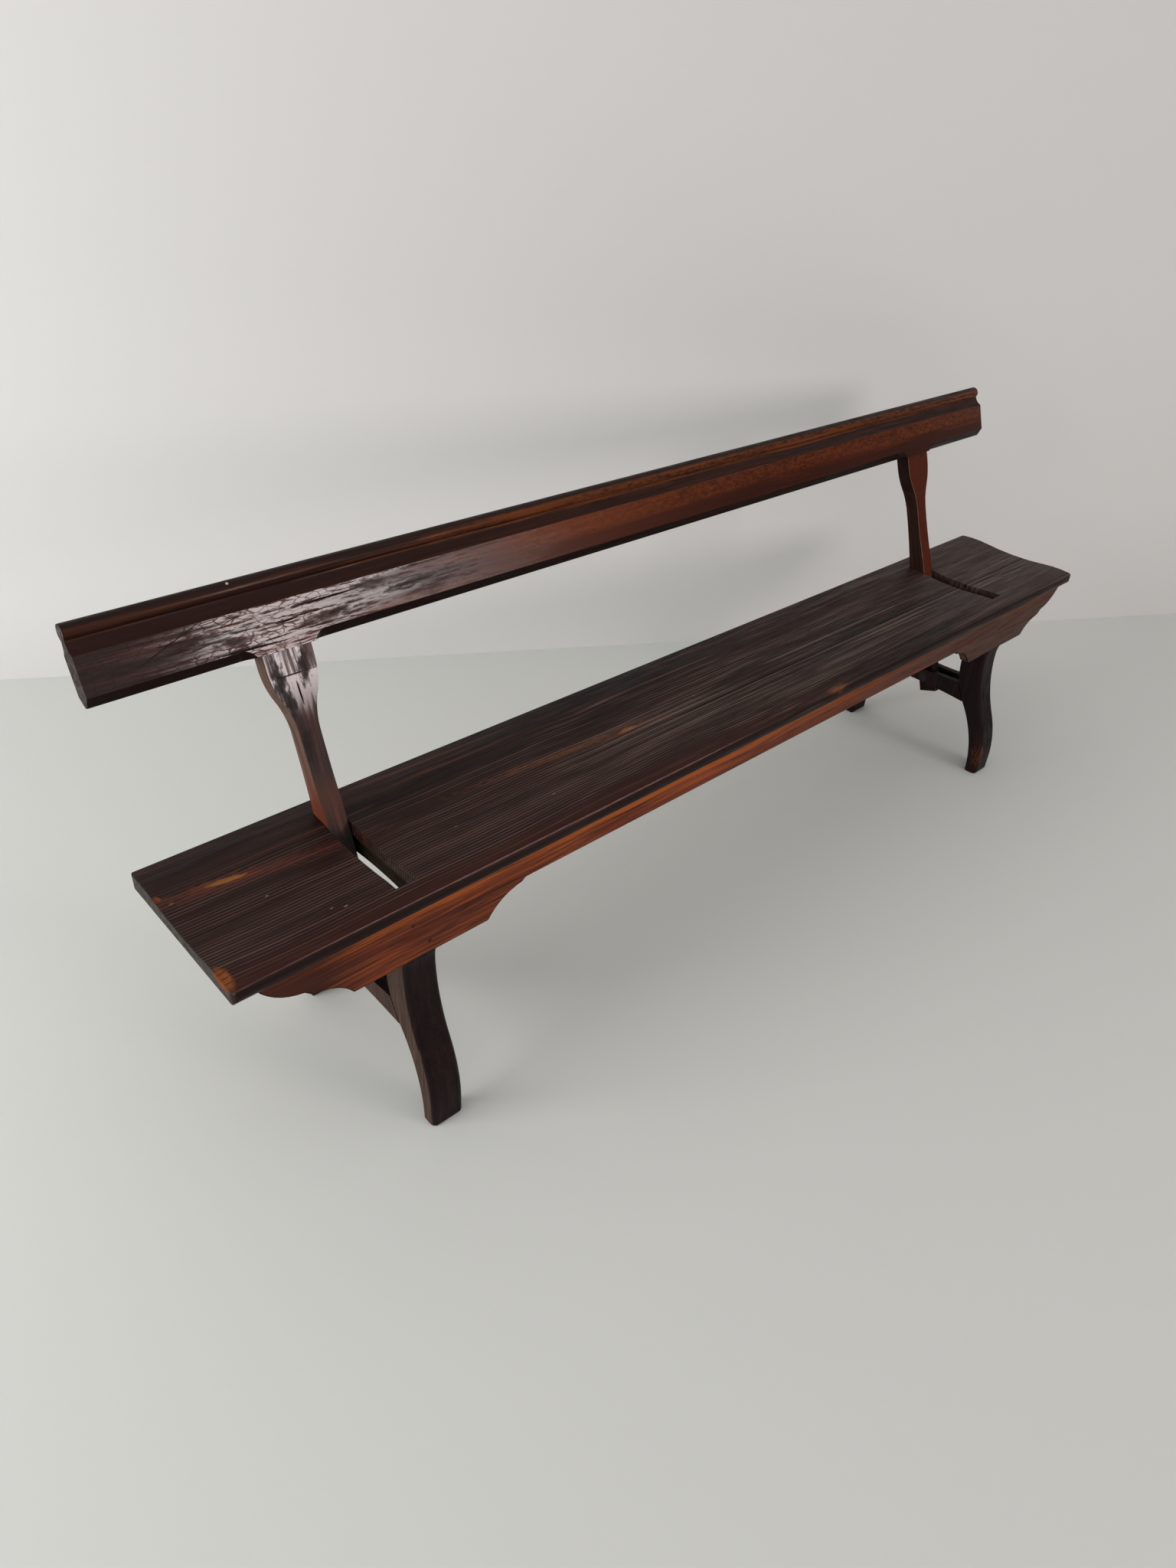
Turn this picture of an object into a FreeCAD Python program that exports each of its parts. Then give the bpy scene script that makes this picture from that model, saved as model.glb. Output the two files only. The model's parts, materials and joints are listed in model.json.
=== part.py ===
import FreeCAD, Part
import math
import os
import re
import Sketcher
from FreeCAD import Vector

# A railway waiting-room bench with a reversible back, in dark stained softwood.
# X runs along the bench, -Y is the front, +Z is up and the floor is Z = 0.
# Two swing arms carry the back rail. They pass through slots in the seat and turn on
# bolts in the cross rails, so that the back lies over to one side of the seat or the other.
# Reaches and half sizes are measured from the pivot plane, heights from the floor, and
# the sizes of the arms and the back rail from the pivot, along the arm.

SIZES = {
    # Whole bench
    "frame_offset": 844,       # middle of each leg frame, from the middle of the bench
    "pivot_setback": 16.8,     # pivot plane, in front of the middle of the bench's depth
    "pivot_height": 194,
    "lean": 20.2,              # degrees, the back at rest
    "joint_play": 0.1,         # all round a glued or driven piece
    # Seat
    "seat_length": 2286,
    "seat_underside": 426,
    "rim_height": 450.5,
    "arris_half": 156,
    "nose_tuck": 4,
    "nose_bow": 5,
    "dish_half": 80,
    "dish_depth": 4.7,
    "lip_bow": 2.3,
    "corner_radius": 8,
    "seam_reach": 24,          # joint between the two boards, in front of the middle
    "tongue_width": 16,
    "tongue_height": 6,
    "tongue_lift": 6,
    "slot_play": 1.5,          # each side of an arm
    "stop_play": 0.4,          # between a resting arm and the end of its slot
    # Aprons
    "apron_face": 150,
    "apron_thickness": 22,
    "apron_end": 1108,
    "apron_deep": 331,
    "apron_shallow": 381,
    "deep_inner": 717,
    "deep_outer": 964,
    "inner_cove_end": 649,
    "inner_cove_top": 375,
    "inner_cove_bow": 9,
    "inner_step": 641,
    "outer_cove_end": 1011,
    "outer_cove_top": 364,
    "outer_cove_bow": 6,
    "fillet_end": 1028,
    "fillet_top": 368,
    "ovolo_start": 1040,
    "ovolo_low": 379,
    "ovolo_bow": 9,
    # Legs
    "leg_thickness": 61,
    "leg_chamfer": 6,
    "foot_reach": 206,
    "foot_heel": 177,
    "foot_flat": 18,
    "knee_bow": 8.6,
    "sweep_reach": 180,
    "sweep_height": 154,
    "sweep_bow": 8,
    "neck_reach": 145.5,
    "neck_height": 303,
    "neck_bow": 1,
    "shoulder_set": 1,
    "inner_neck_reach": 88,
    "inner_neck_height": 290,
    "inner_neck_bow": 2.5,
    "heel_bow": 14.7,
    "head_play": 1.5,
    # Cross rails, with heights from the pivot
    "brace_top_reach": 97,
    "brace_above": 28,
    "brace_top_hollow": 6,
    "brace_low_reach": 119.5,
    "brace_below": 17.5,
    "brace_low_arch": 4.5,
    "tenon_thickness": 18,
    "tenon_below": 10,
    "tenon_above": 18,
    "tenon_reach": 140,
    "mortise_half": 87,
    "mortise_play": 0.75,
    "peg_radius": 5,
    "peg_length": 44,
    "peg_reach": 124,
    "peg_rise": 4,
    # Swing arms
    "arm_width": 35,
    "arm_top_width": 81,
    "arm_foot_width": 25,
    "arm_foot_half": 22.2,
    "arm_waist_half": 19.5,
    "arm_top_half": 15.5,
    "arm_below": 43,
    "waist_rise": 14.2,        # of the waist above the seat
    "arm_slim": 430,
    "arm_slim_bow": 1.5,
    "foot_shoulder": 46,
    "shoulder_run": 12,
    "shoulder_bow": 1.8,
    "flare_start": 421,
    "flare_end": 529,
    "flare_bow": 2.8,
    "arm_tenon_width": 50,
    "arm_tenon_thickness": 12,
    "arm_tenon_length": 42,
    # Back rail
    "back_length": 2273,
    "back_low": 551.5,
    "back_half": 18,
    "back_shoulder": 624,
    "quirk_half": 7.5,
    "cove_low": 643,
    "cove_bow": 2,
    "bead_centre": 656,
    "bead_radius": 13,
    "chamfer_drop": 15,
    "chamfer_run": 14,
    "chamfer_gap": 72,
    "chamfer_overrun": 2,      # of the cut, past the faces that it leaves
    "stop_run": 26,
    "stop_bow": 4,
    "arm_peg_radius": 4,
    "arm_peg_length": 27,
    "arm_peg_rise": 22,
    "arm_peg_spread": 14,
    # Pivot bolts
    "bolt_radius": 6,
    "running_play": 0.05,
    "bolt_head_radius": 12,
    "bolt_head_height": 4,
    "bolt_tail": 4,            # past the nut
    "washer_radius": 15,
    "washer_thickness": 2,
    "nut_across": 22,
    "nut_thickness": 10,
    # Battens, blocks and fixings under the seat
    "batten_width": 45,
    "batten_thickness": 20,
    "batten_play": 0.5,
    "side_batten_thickness": 20,
    "side_batten_low": 370,
    "side_batten_arch": 12,
    "screw_radius": 2.2,
    "screw_head_radius": 4.6,
    "screw_head_depth": 3,
    "screw_length": 30,
    "screw_near": 45,
    "screw_far": 95,
    "side_screw_length": 45,
    "side_screw_reach": 116,
    "side_screw_height": 388,
    "block_side": 28,
    "block_length": 70,
    "block_near": 260,
    "block_middle": 520,
    "block_far": 960,
    "nail_radius": 1.8,
    "nail_head_radius": 3.6,
    "nail_head_thickness": 1.2,
    "nail_length": 40,
    "nail_spread": 14,
    "nail_low": 355,
    "nail_high": 400,
}

doc = FreeCAD.newDocument("RailwayBench")
sheet = doc.addObject("Spreadsheet::Sheet", "Sizes")
for row, (alias, size) in enumerate(SIZES.items(), start=1):
    sheet.set(f"A{row}", alias)
    sheet.set(f"B{row}", str(size))
    sheet.setAlias(f"B{row}", alias)
doc.recompute()

nodes = []


def formula(text):
    """Write the sheet's name before each of its cells in an expression."""
    return re.sub(r"[a-z_]+", lambda word: f"Sizes.{word[0]}" if word[0] in SIZES else word[0], text)


def value(text):
    return float(sheet.evalExpression(formula(text)))


def bind(item, **expressions):
    for name, text in expressions.items():
        item.setExpression(name, formula(text))


def place(item, x="0", y="0", z="0", axis=(0, 0, 1), angle="0"):
    """Set an item's place from the pivot plane, the floor and the middle of the bench."""
    turn = "vector({}; {}; {})".format(*axis)
    bind(item, Placement=f"placement(vector({x}; {y} - pivot_setback; {z}); rotation({turn}; {angle}))")


def place_leaning(item, x="0"):
    """Set an item that is drawn upright on the pivot at the back's resting lean."""
    place(item, x=x, z="pivot_height", axis=(1, 0, 0), angle="-lean")


def keep(label, item):
    item.Label = label
    nodes.append(item)
    return item


def primitive(kind, name, **expressions):
    item = doc.addObject(kind, name)
    bind(item, **expressions)
    return item


def join(name, pieces, kind="Part::Compound"):
    group = doc.addObject(kind, name)
    if kind == "Part::Compound":
        group.Links = pieces
    else:
        group.Shapes = pieces
    return group


def cut_with(label, blank, tool):
    """Bore a finished blank for the pegs, nails or screws that are driven into it."""
    blank.Label = f"{label} blank"
    cut = doc.addObject("Part::Cut", f"{label}_bored")
    cut.Base = blank
    cut.Tool = tool
    return keep(label, cut)


def new_body(name):
    return doc.addObject("PartDesign::Body", name)


def new_sketch(body, name, plane, offset=None):
    sketch = body.newObject("Sketcher::SketchObject", name)
    support = next(item for item in body.Origin.OriginFeatures if item.Role == plane)
    sketch.AttachmentSupport = [(support, "")]
    sketch.MapMode = "FlatFace"
    if offset:
        bind(sketch, AttachmentOffset=offset)
    return sketch


def dimension(sketch, constraint, text):
    index = sketch.addConstraint(constraint)
    sketch.setExpression(f"Constraints[{index}]", formula(text))


def add_loop(sketch, corners):
    """Close an outline through corners, each a pair of expressions. A third expression
    bows the edge that leaves the corner into an arc, to the right of the way it runs."""
    points = [Vector(value(corner[0]), value(corner[1]), 0) for corner in corners]
    following = corners[1:] + corners[:1]
    edges = []
    for start, end, corner, target in zip(points, points[1:] + points[:1], corners, following):
        if len(corner) == 2:
            edges.append((sketch.addGeometry(Part.LineSegment(start, end)), 1, 2))
            continue
        bow = value(corner[2])
        chord = end - start
        right = Vector(chord.y, -chord.x, 0).normalize()
        radius = (chord.Length ** 2 / 4 + bow ** 2) / (2 * abs(bow))
        centre = (start + end) / 2 + right * (bow - math.copysign(radius, bow))
        first, last = (start, end) if bow > 0 else (end, start)
        angles = [math.atan2(point.y - centre.y, point.x - centre.x) for point in (first, last)]
        arc = sketch.addGeometry(Part.ArcOfCircle(Part.Circle(centre, Vector(0, 0, 1), radius), *angles))
        edges.append((arc, 1, 2) if bow > 0 else (arc, 2, 1))
        run = f"(({target[0]}) - ({corner[0]}))"
        rise = f"(({target[1]}) - ({corner[1]}))"
        bend = f"abs({corner[2]})"
        dimension(sketch, Sketcher.Constraint("Radius", arc, radius),
                  f"({run}^2 + {rise}^2) / (8 * {bend}) + {bend} / 2")
    for edge, after, corner, point in zip(edges, edges[1:] + edges[:1], corners, points):
        sketch.addConstraint(Sketcher.Constraint("Coincident", edge[0], edge[2], after[0], after[1]))
        dimension(sketch, Sketcher.Constraint("DistanceX", -1, 1, edge[0], edge[1], point.x), corner[0])
        dimension(sketch, Sketcher.Constraint("DistanceY", -1, 1, edge[0], edge[1], point.y), corner[1])


def add_rectangle(sketch, left, low, right, high):
    add_loop(sketch, [(left, low), (right, low), (right, high), (left, high)])


def add_circle(sketch, across, up, radius):
    centre = Vector(value(across), value(up), 0)
    circle = sketch.addGeometry(Part.Circle(centre, Vector(0, 0, 1), value(radius)))
    dimension(sketch, Sketcher.Constraint("Radius", circle, value(radius)), radius)
    dimension(sketch, Sketcher.Constraint("DistanceX", -1, 1, circle, 3, centre.x), across)
    dimension(sketch, Sketcher.Constraint("DistanceY", -1, 1, circle, 3, centre.y), up)


def both_halves(right_half):
    """Complete an outline from its right half, which runs from the bottom to the top."""
    left_half = []
    for index in range(len(right_half) - 1, -1, -1):
        across, up = right_half[index][:2]
        bow = right_half[index - 1][2:] if index else ()
        left_half.append((f"-({across})", up, *bow))
    return right_half + left_half


def pad(body, sketch, name, length):
    feature = body.newObject("PartDesign::Pad", name)
    feature.Profile = sketch
    feature.SideType = "Symmetric"
    bind(feature, Length=length)
    doc.recompute()


def pocket(body, sketch, name, length=None):
    """Cut a sketch right through a body, or to a length, and see that it takes wood away."""
    before = body.Shape.Volume
    feature = body.newObject("PartDesign::Pocket", name)
    feature.Profile = sketch
    feature.SideType = "Symmetric"
    if length:
        bind(feature, Length=length)
    else:
        feature.Type = "ThroughAll"
    doc.recompute()
    if body.Shape.Volume >= before:
        raise RuntimeError(f"{name} cuts nothing")


def chamfer(body, name, size, wanted):
    """Chamfer the edges of a body that a test on their boxes picks out."""
    square = body.Tip
    picked = [f"Edge{number}" for number, edge in enumerate(square.Shape.Edges, start=1)
              if wanted(edge.BoundBox)]
    feature = body.newObject("PartDesign::Chamfer", name)
    feature.Base = (square, picked)
    bind(feature, Size=size)
    doc.recompute()


arm_waist = "((rim_height + lip_bow - pivot_height) / cos(lean * 1 deg) + waist_rise)"


def rear_face_reach(height):
    """Reach of a swing arm's rear face at a height, with the arm at rest."""
    along = f"(({height}) - pivot_height) / cos(lean * 1 deg)"
    taper = f"(arm_foot_half - arm_waist_half) / (arm_below + {arm_waist})"
    half = f"(arm_foot_half - {taper} * ({along} + arm_below))"
    return f"((({height}) - pivot_height) * tan(lean * 1 deg) + {half} / cos(lean * 1 deg))"


slot_half = f"({rear_face_reach('rim_height + lip_bow')} + stop_play)"
slot_width = "(arm_width + 2 * slot_play)"


# Seat: two boards, edge-jointed with loose tongues. The top is dished along the middle
# and rolls over to a rounded nose at each edge. A slot for each arm crosses the joint.

dish_radius = "((dish_half^2 + dish_depth^2) / (2 * dish_depth))"
seam_top = f"(rim_height - dish_depth + {dish_radius} - sqrt({dish_radius}^2 - seam_reach^2))"
nose_rise = "(rim_height - seat_underside)"
nose_chord = f"sqrt(nose_tuck^2 + {nose_rise}^2)"
nose_radius = f"({nose_chord}^2 / (8 * nose_bow) + nose_bow / 2)"
nose_swell = f"({nose_radius} - {nose_rise} / {nose_chord} * ({nose_radius} - nose_bow))"
nose_reach = f"(arris_half - nose_tuck / 2 + {nose_swell})"
groove_low = "(seat_underside + tongue_lift)"
groove_high = "(seat_underside + tongue_lift + tongue_height)"


def dish_bow(edge):
    """Bow of the dished top from the joint to one edge of the dish."""
    run = f"(dish_half - ({edge}))"
    rise = f"(rim_height - {seam_top})"
    return f"({dish_radius} - sqrt({dish_radius}^2 - ({run}^2 + {rise}^2) / 4))"


def seat_board(label, side):
    """Make one board. The side is -1 for the front board and 1 for the rear one."""
    body = new_body(label.title().replace("_", ""))
    seam = f"({-side} * seam_reach)"
    groove = f"({-side} * seam_reach + tongue_width / 2)"
    corners = [
        (seam, "seat_underside"),
        ("arris_half - nose_tuck", "seat_underside", "nose_bow"),
        ("arris_half", "rim_height", "lip_bow"),
        ("dish_half", "rim_height", f"-{dish_bow(seam)}"),
        (seam, seam_top),
        (seam, groove_high),
        (groove, groove_high),
        (groove, groove_low),
        (seam, groove_low),
    ]
    section = new_sketch(body, "Section", "YZ_Plane")
    add_loop(section, corners)
    pad(body, section, "Board", "seat_length")
    cuts = new_sketch(body, "SlotsAndCorners", "XY_Plane")
    for sign in (-1, 1):
        middle = f"{sign} * frame_offset"
        add_rectangle(cuts, f"{middle} - {slot_width} / 2", f"-{slot_half}",
                      f"{middle} + {slot_width} / 2", slot_half)
        end = f"{sign} * seat_length / 2"
        add_loop(cuts, [
            (f"{end} - {sign} * corner_radius", nose_reach, f"{-sign} * corner_radius * (1 - sqrt(0.5))"),
            (end, f"{nose_reach} - corner_radius"),
            (f"{end} + {sign} * corner_radius", f"{nose_reach} - corner_radius"),
            (f"{end} + {sign} * corner_radius", f"{nose_reach} + corner_radius"),
            (f"{end} - {sign} * corner_radius", f"{nose_reach} + corner_radius"),
        ])
    pocket(body, cuts, "Cuts")
    place(body, angle="0" if side > 0 else "180")
    return body


def seat_tongues():
    """Make the loose tongues, which stop at the arm slots."""
    slot_inner = f"(frame_offset - {slot_width} / 2)"
    slot_outer = f"(frame_offset + {slot_width} / 2)"
    spans = [
        ("-seat_length / 2", f"-{slot_outer}"),
        (f"-{slot_inner}", slot_inner),
        (slot_outer, "seat_length / 2"),
    ]
    tongues = []
    for number, (start, end) in enumerate(spans, start=1):
        tongue = primitive("Part::Box", f"Tongue{number}", Length=f"({end}) - ({start})",
                           Width="tongue_width - 2 * joint_play", Height="tongue_height - 2 * joint_play")
        place(tongue, start, "-seam_reach - tongue_width / 2 + joint_play", f"{groove_low} + joint_play")
        tongues.append(tongue)
    return join("Tongues", tongues)


# Battens: a flat one across the middle keeps the boards flat and is screwed up into both.
# A batten on edge carries the seat beside each leg frame. Its lower edge is arched, and a
# screw holds it to each leg head.

under_span = "(2 * (apron_face - apron_thickness - batten_play))"
batten_low = "(seat_underside - batten_thickness)"
frame_inner = "(frame_offset - leg_thickness / 2)"


def centre_batten():
    batten = primitive("Part::Box", "CentreBatten", Length="batten_width", Width=under_span,
                       Height="batten_thickness")
    place(batten, "-batten_width / 2", f"-{under_span} / 2", batten_low)
    return batten


def side_batten(label, sign):
    body = new_body(label.title().replace("_", ""))
    outline = new_sketch(body, "Outline", "YZ_Plane")
    add_loop(outline, [
        (f"-{under_span} / 2", "side_batten_low", "-side_batten_arch"),
        (f"{under_span} / 2", "side_batten_low"),
        (f"{under_span} / 2", "seat_underside"),
        (f"-{under_span} / 2", "seat_underside"),
    ])
    pad(body, outline, "Batten", "side_batten_thickness")
    place(body, f"{sign} * ({frame_inner} - side_batten_thickness / 2)")
    return body


def wood_screw(name, length, x, y, z, axis=(0, 0, 1), angle="0"):
    """Make a countersunk screw that points up until it is turned, its head flush."""
    head = primitive("Part::Cone", f"{name}Head", Radius1="screw_head_radius", Radius2="screw_radius",
                     Height="screw_head_depth")
    shank = primitive("Part::Cylinder", f"{name}Shank", Radius="screw_radius", Height=length)
    for item in (head, shank):
        place(item, x, y, z, axis, angle)
    return join(name, [head, shank], "Part::MultiFuse")


def batten_screws():
    screws = []
    for reach in ("-screw_far", "-screw_near", "screw_near", "screw_far"):
        screws.append(wood_screw(f"CentreScrew{len(screws) + 1}", "screw_length", "0", reach, batten_low))
    for sign in (-1, 1):
        for reach in ("-side_screw_reach", "side_screw_reach"):
            screws.append(wood_screw(
                f"SideScrew{len(screws) + 1}", "side_screw_length",
                f"{sign} * ({frame_inner} - side_batten_thickness)", reach, "side_screw_height",
                axis=(0, 1, 0), angle=f"{sign} * 90"))
    return join("BattenScrews", screws)


# Aprons: boards on edge below the seat, at the front and the rear, nailed to the leg
# heads. The lower edge drops at each leg and its outer end is moulded.

def apron(label):
    body = new_body(label.title().replace("_", ""))
    right_half = [
        ("inner_step", "apron_shallow"),
        ("inner_cove_end", "inner_cove_top", "-inner_cove_bow"),
        ("deep_inner", "apron_deep"),
        ("deep_outer", "apron_deep", "-outer_cove_bow"),
        ("outer_cove_end", "outer_cove_top"),
        ("fillet_end", "fillet_top"),
        ("ovolo_start", "ovolo_low", "ovolo_bow"),
        ("apron_end", "seat_underside"),
    ]
    outline = new_sketch(body, "Outline", "XZ_Plane")
    add_loop(outline, both_halves(right_half))
    pad(body, outline, "Board", "apron_thickness")
    return body


def cut_nail(name, x, z, angle):
    """Make a nail that is driven in from the apron's face, its head flush."""
    head = primitive("Part::Cylinder", f"{name}Head", Radius="nail_head_radius", Height="nail_head_thickness")
    shank = primitive("Part::Cylinder", f"{name}Shank", Radius="nail_radius", Height="nail_length")
    face = "-apron_face" if angle < 0 else "apron_face"
    for item in (head, shank):
        place(item, x, face, z, axis=(1, 0, 0), angle=str(angle))
    return join(name, [head, shank], "Part::MultiFuse")


def apron_nails():
    nails = []
    for middle in ("-frame_offset", "frame_offset"):
        for angle in (-90, 90):
            nails.append(cut_nail(f"Nail{len(nails) + 1}", f"{middle} - nail_spread", "nail_high", angle))
            nails.append(cut_nail(f"Nail{len(nails) + 1}", f"{middle} + nail_spread", "nail_low", angle))
    return join("ApronNails", nails)


def glue_blocks():
    """Make the three-cornered blocks that are glued in between the aprons and the seat."""
    blocks = []
    for start in ("block_near", "block_middle", "block_far"):
        for sign in (-1, 1):
            for angle in (0, 180):
                block = primitive("Part::Wedge", f"Block{len(blocks) + 1}", Xmax="block_length",
                                  X2max="block_length", Ymax="block_side", Zmax="block_side",
                                  Z2min="block_side", Z2max="block_side")
                for name in ("Xmin", "X2min", "Ymin", "Zmin"):
                    setattr(block, name, 0)
                turned = 1 if angle == 0 else -1
                place(block, f"{sign} * {start} - {turned} * block_length / 2",
                      f"-{turned} * (apron_face - apron_thickness)", "seat_underside - block_side",
                      angle=str(angle))
                blocks.append(block)
    return join("GlueBlocks", blocks)


# Legs: sawn to an S, hollow on the inner side, with a head that leans out behind the
# apron and clears the arm. The outer corners are chamfered from the foot to the neck,
# and the cross rail's tenon goes into the inner edge.

brace_top = "(pivot_height + brace_above)"
brace_low = "(pivot_height - brace_below)"
tenon_low = "(pivot_height - tenon_below)"
tenon_high = "(pivot_height + tenon_above)"


def leg(label):
    """Draw a rear leg. A front leg is the same piece, turned round."""
    body = new_body(label.title().replace("_", ""))
    outline = new_sketch(body, "Outline", "YZ_Plane")
    add_loop(outline, [
        ("foot_heel", "0"),
        ("foot_reach", "0"),
        ("foot_reach", "foot_flat", "knee_bow"),
        ("sweep_reach", "sweep_height", "-sweep_bow"),
        ("neck_reach", "neck_height", "-neck_bow"),
        ("apron_face - shoulder_set", "apron_deep"),
        ("apron_face - apron_thickness", "apron_deep"),
        ("apron_face - apron_thickness", "seat_underside"),
        (f"{rear_face_reach('seat_underside')} + head_play", "seat_underside"),
        ("inner_neck_reach", "inner_neck_height", "inner_neck_bow"),
        ("brace_top_reach", brace_top),
        ("brace_low_reach", brace_low, "-heel_bow"),
    ])
    pad(body, outline, "Leg", "leg_thickness")
    neck = value("neck_reach")
    top = value("neck_height")
    chamfer(body, "OuterChamfers", "leg_chamfer",
            lambda box: box.YMin > neck - 1 and box.ZMax < top + 1 and box.ZLength > 1)
    mortise = new_sketch(body, "Mortise", "YZ_Plane")
    add_rectangle(mortise, "0", f"{tenon_low} - joint_play",
                  "tenon_reach + joint_play", f"{tenon_high} + joint_play")
    pocket(body, mortise, "TenonMortise", "tenon_thickness + 2 * joint_play")
    return body


# Cross rails: one in each leg frame, tenoned into both legs. A long mortise through the
# middle takes the foot of the arm, which turns there on the pivot bolt.

def cross_rail(label):
    body = new_body(label.title().replace("_", ""))
    outline = new_sketch(body, "Outline", "YZ_Plane")
    add_loop(outline, [
        ("-brace_low_reach", brace_low, "-brace_low_arch"),
        ("brace_low_reach", brace_low),
        ("brace_top_reach", brace_top, "-brace_top_hollow"),
        ("-brace_top_reach", brace_top),
    ])
    pad(body, outline, "Rail", "leg_thickness")
    tenons = new_sketch(body, "Tenons", "YZ_Plane")
    add_rectangle(tenons, "-tenon_reach", tenon_low, "tenon_reach", tenon_high)
    pad(body, tenons, "TenonBar", "tenon_thickness")
    mortise = new_sketch(body, "Mortise", "XY_Plane")
    half = "(arm_foot_width / 2 + mortise_play)"
    add_rectangle(mortise, f"-{half}", "-mortise_half", half, "mortise_half")
    pocket(body, mortise, "ArmMortise")
    bolt_hole = new_sketch(body, "BoltHole", "YZ_Plane")
    add_circle(bolt_hole, "0", "pivot_height", "bolt_radius + joint_play")
    pocket(body, bolt_hole, "Bore")
    inner_face = "placement(vector(0; 0; -leg_thickness / 2); rotation(0; 0; 0))"
    sink = new_sketch(body, "HeadSink", "YZ_Plane", inner_face)
    add_circle(sink, "0", "pivot_height", "bolt_head_radius + joint_play")
    pocket(body, sink, "HeadRecess", "2 * bolt_head_height")
    return body


def tenon_pegs():
    """Make the pegs that pin the tenons, driven in from the inner side of each frame."""
    pegs = []
    for start in (f"-{frame_inner} - peg_length", frame_inner):
        for reach in ("-peg_reach", "peg_reach"):
            peg = primitive("Part::Cylinder", f"TenonPeg{len(pegs) + 1}", Radius="peg_radius",
                            Height="peg_length")
            place(peg, start, reach, "pivot_height + peg_rise", axis=(0, 1, 0), angle="90")
            pegs.append(peg)
    return join("TenonPegs", pegs)


# Pivot bolts: iron bolts with flat heads, let in flush on the inner side of each frame, and
# a washer and a square nut on the outer side. Only the arm turns on the bolt.

frame_outer = "(frame_offset + leg_thickness / 2)"
bolt_length = "(leg_thickness + washer_thickness + nut_thickness + bolt_tail)"


def pivot_bolt(label, angle):
    """Turn a bolt about X, with its head at the inner face of the frame."""
    body = new_body(label.title().replace("_", ""))
    profile = new_sketch(body, "Profile", "XZ_Plane")
    add_loop(profile, [
        ("0", "0"),
        (bolt_length, "0"),
        (bolt_length, "bolt_radius"),
        ("bolt_head_height", "bolt_radius"),
        ("bolt_head_height", "bolt_head_radius"),
        ("0", "bolt_head_radius"),
    ])
    turning = body.newObject("PartDesign::Revolution", "Turning")
    turning.Profile = profile
    turning.ReferenceAxis = (profile, ["H_Axis"])
    turning.Angle = 360
    doc.recompute()
    sign = "" if angle == "0" else "-"
    place(body, f"{sign}{frame_inner}", z="pivot_height", angle=angle)
    return body


def pivot_nut(label, sign):
    body = new_body(label.title().replace("_", ""))
    outline = new_sketch(body, "Outline", "YZ_Plane")
    half = "nut_across / 2"
    add_rectangle(outline, f"-{half}", f"-{half}", half, half)
    add_circle(outline, "0", "0", "bolt_radius + joint_play")
    pad(body, outline, "Nut", "nut_thickness")
    place(body, f"{sign} * ({frame_outer} + washer_thickness + nut_thickness / 2)", z="pivot_height")
    return body


def pivot_washers():
    washers = []
    for name, start in (("Left", f"-{frame_outer} - washer_thickness"), ("Right", frame_outer)):
        disc = primitive("Part::Cylinder", f"{name}WasherDisc", Radius="washer_radius",
                         Height="washer_thickness")
        eye = primitive("Part::Cylinder", f"{name}WasherEye", Radius="bolt_radius + joint_play",
                        Height="washer_thickness")
        for item in (disc, eye):
            place(item, start, z="pivot_height", axis=(0, 1, 0), angle="90")
        washer = doc.addObject("Part::Cut", f"{name}Washer")
        washer.Base = disc
        washer.Tool = eye
        washers.append(washer)
    return join("PivotWashers", washers)


# Swing arms: drawn upright on the pivot. They taper in thickness to the top, flare to a
# wide head below the rail and have a narrow foot that turns in the cross rail.

def swing_arm(label):
    body = new_body(label.title().replace("_", ""))
    side = new_sketch(body, "SideProfile", "YZ_Plane")
    add_loop(side, both_halves([
        ("arm_foot_half", "-arm_below"),
        ("arm_waist_half", arm_waist, "-arm_slim_bow"),
        ("arm_top_half", "arm_slim"),
        ("arm_top_half", "back_low"),
    ]))
    pad(body, side, "Blank", "arm_top_width")
    front = new_sketch(body, "FrontProfile", "XZ_Plane")
    add_rectangle(front, "-arm_top_width", "-2 * arm_below", "arm_top_width", "back_low + arm_below")
    add_loop(front, both_halves([
        ("arm_foot_width / 2", "-1.5 * arm_below"),
        ("arm_foot_width / 2", "foot_shoulder", "-shoulder_bow"),
        ("arm_width / 2", "foot_shoulder + shoulder_run"),
        ("arm_width / 2", "flare_start", "-flare_bow"),
        ("(arm_width + arm_top_width) / 4", "(flare_start + flare_end) / 2", "flare_bow"),
        ("arm_top_width / 2", "flare_end"),
        ("arm_top_width / 2", "back_low + arm_below / 2"),
    ]))
    pocket(body, front, "Sawing")
    tenon = new_sketch(body, "Tenon", "YZ_Plane")
    half = "arm_tenon_thickness / 2"
    add_rectangle(tenon, f"-{half}", "back_low - arm_tenon_thickness", half, "back_low + arm_tenon_length")
    pad(body, tenon, "RailTenon", "arm_tenon_width")
    bore = new_sketch(body, "Bore", "YZ_Plane")
    add_circle(bore, "0", "0", "bolt_radius + running_play")
    pocket(body, bore, "PivotBore")
    return body


# Back rail: a long board with a bead along the top, a quirk and hollow below it, and
# lower edges that are chamfered on both faces. The chamfers stop beside each arm.

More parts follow.
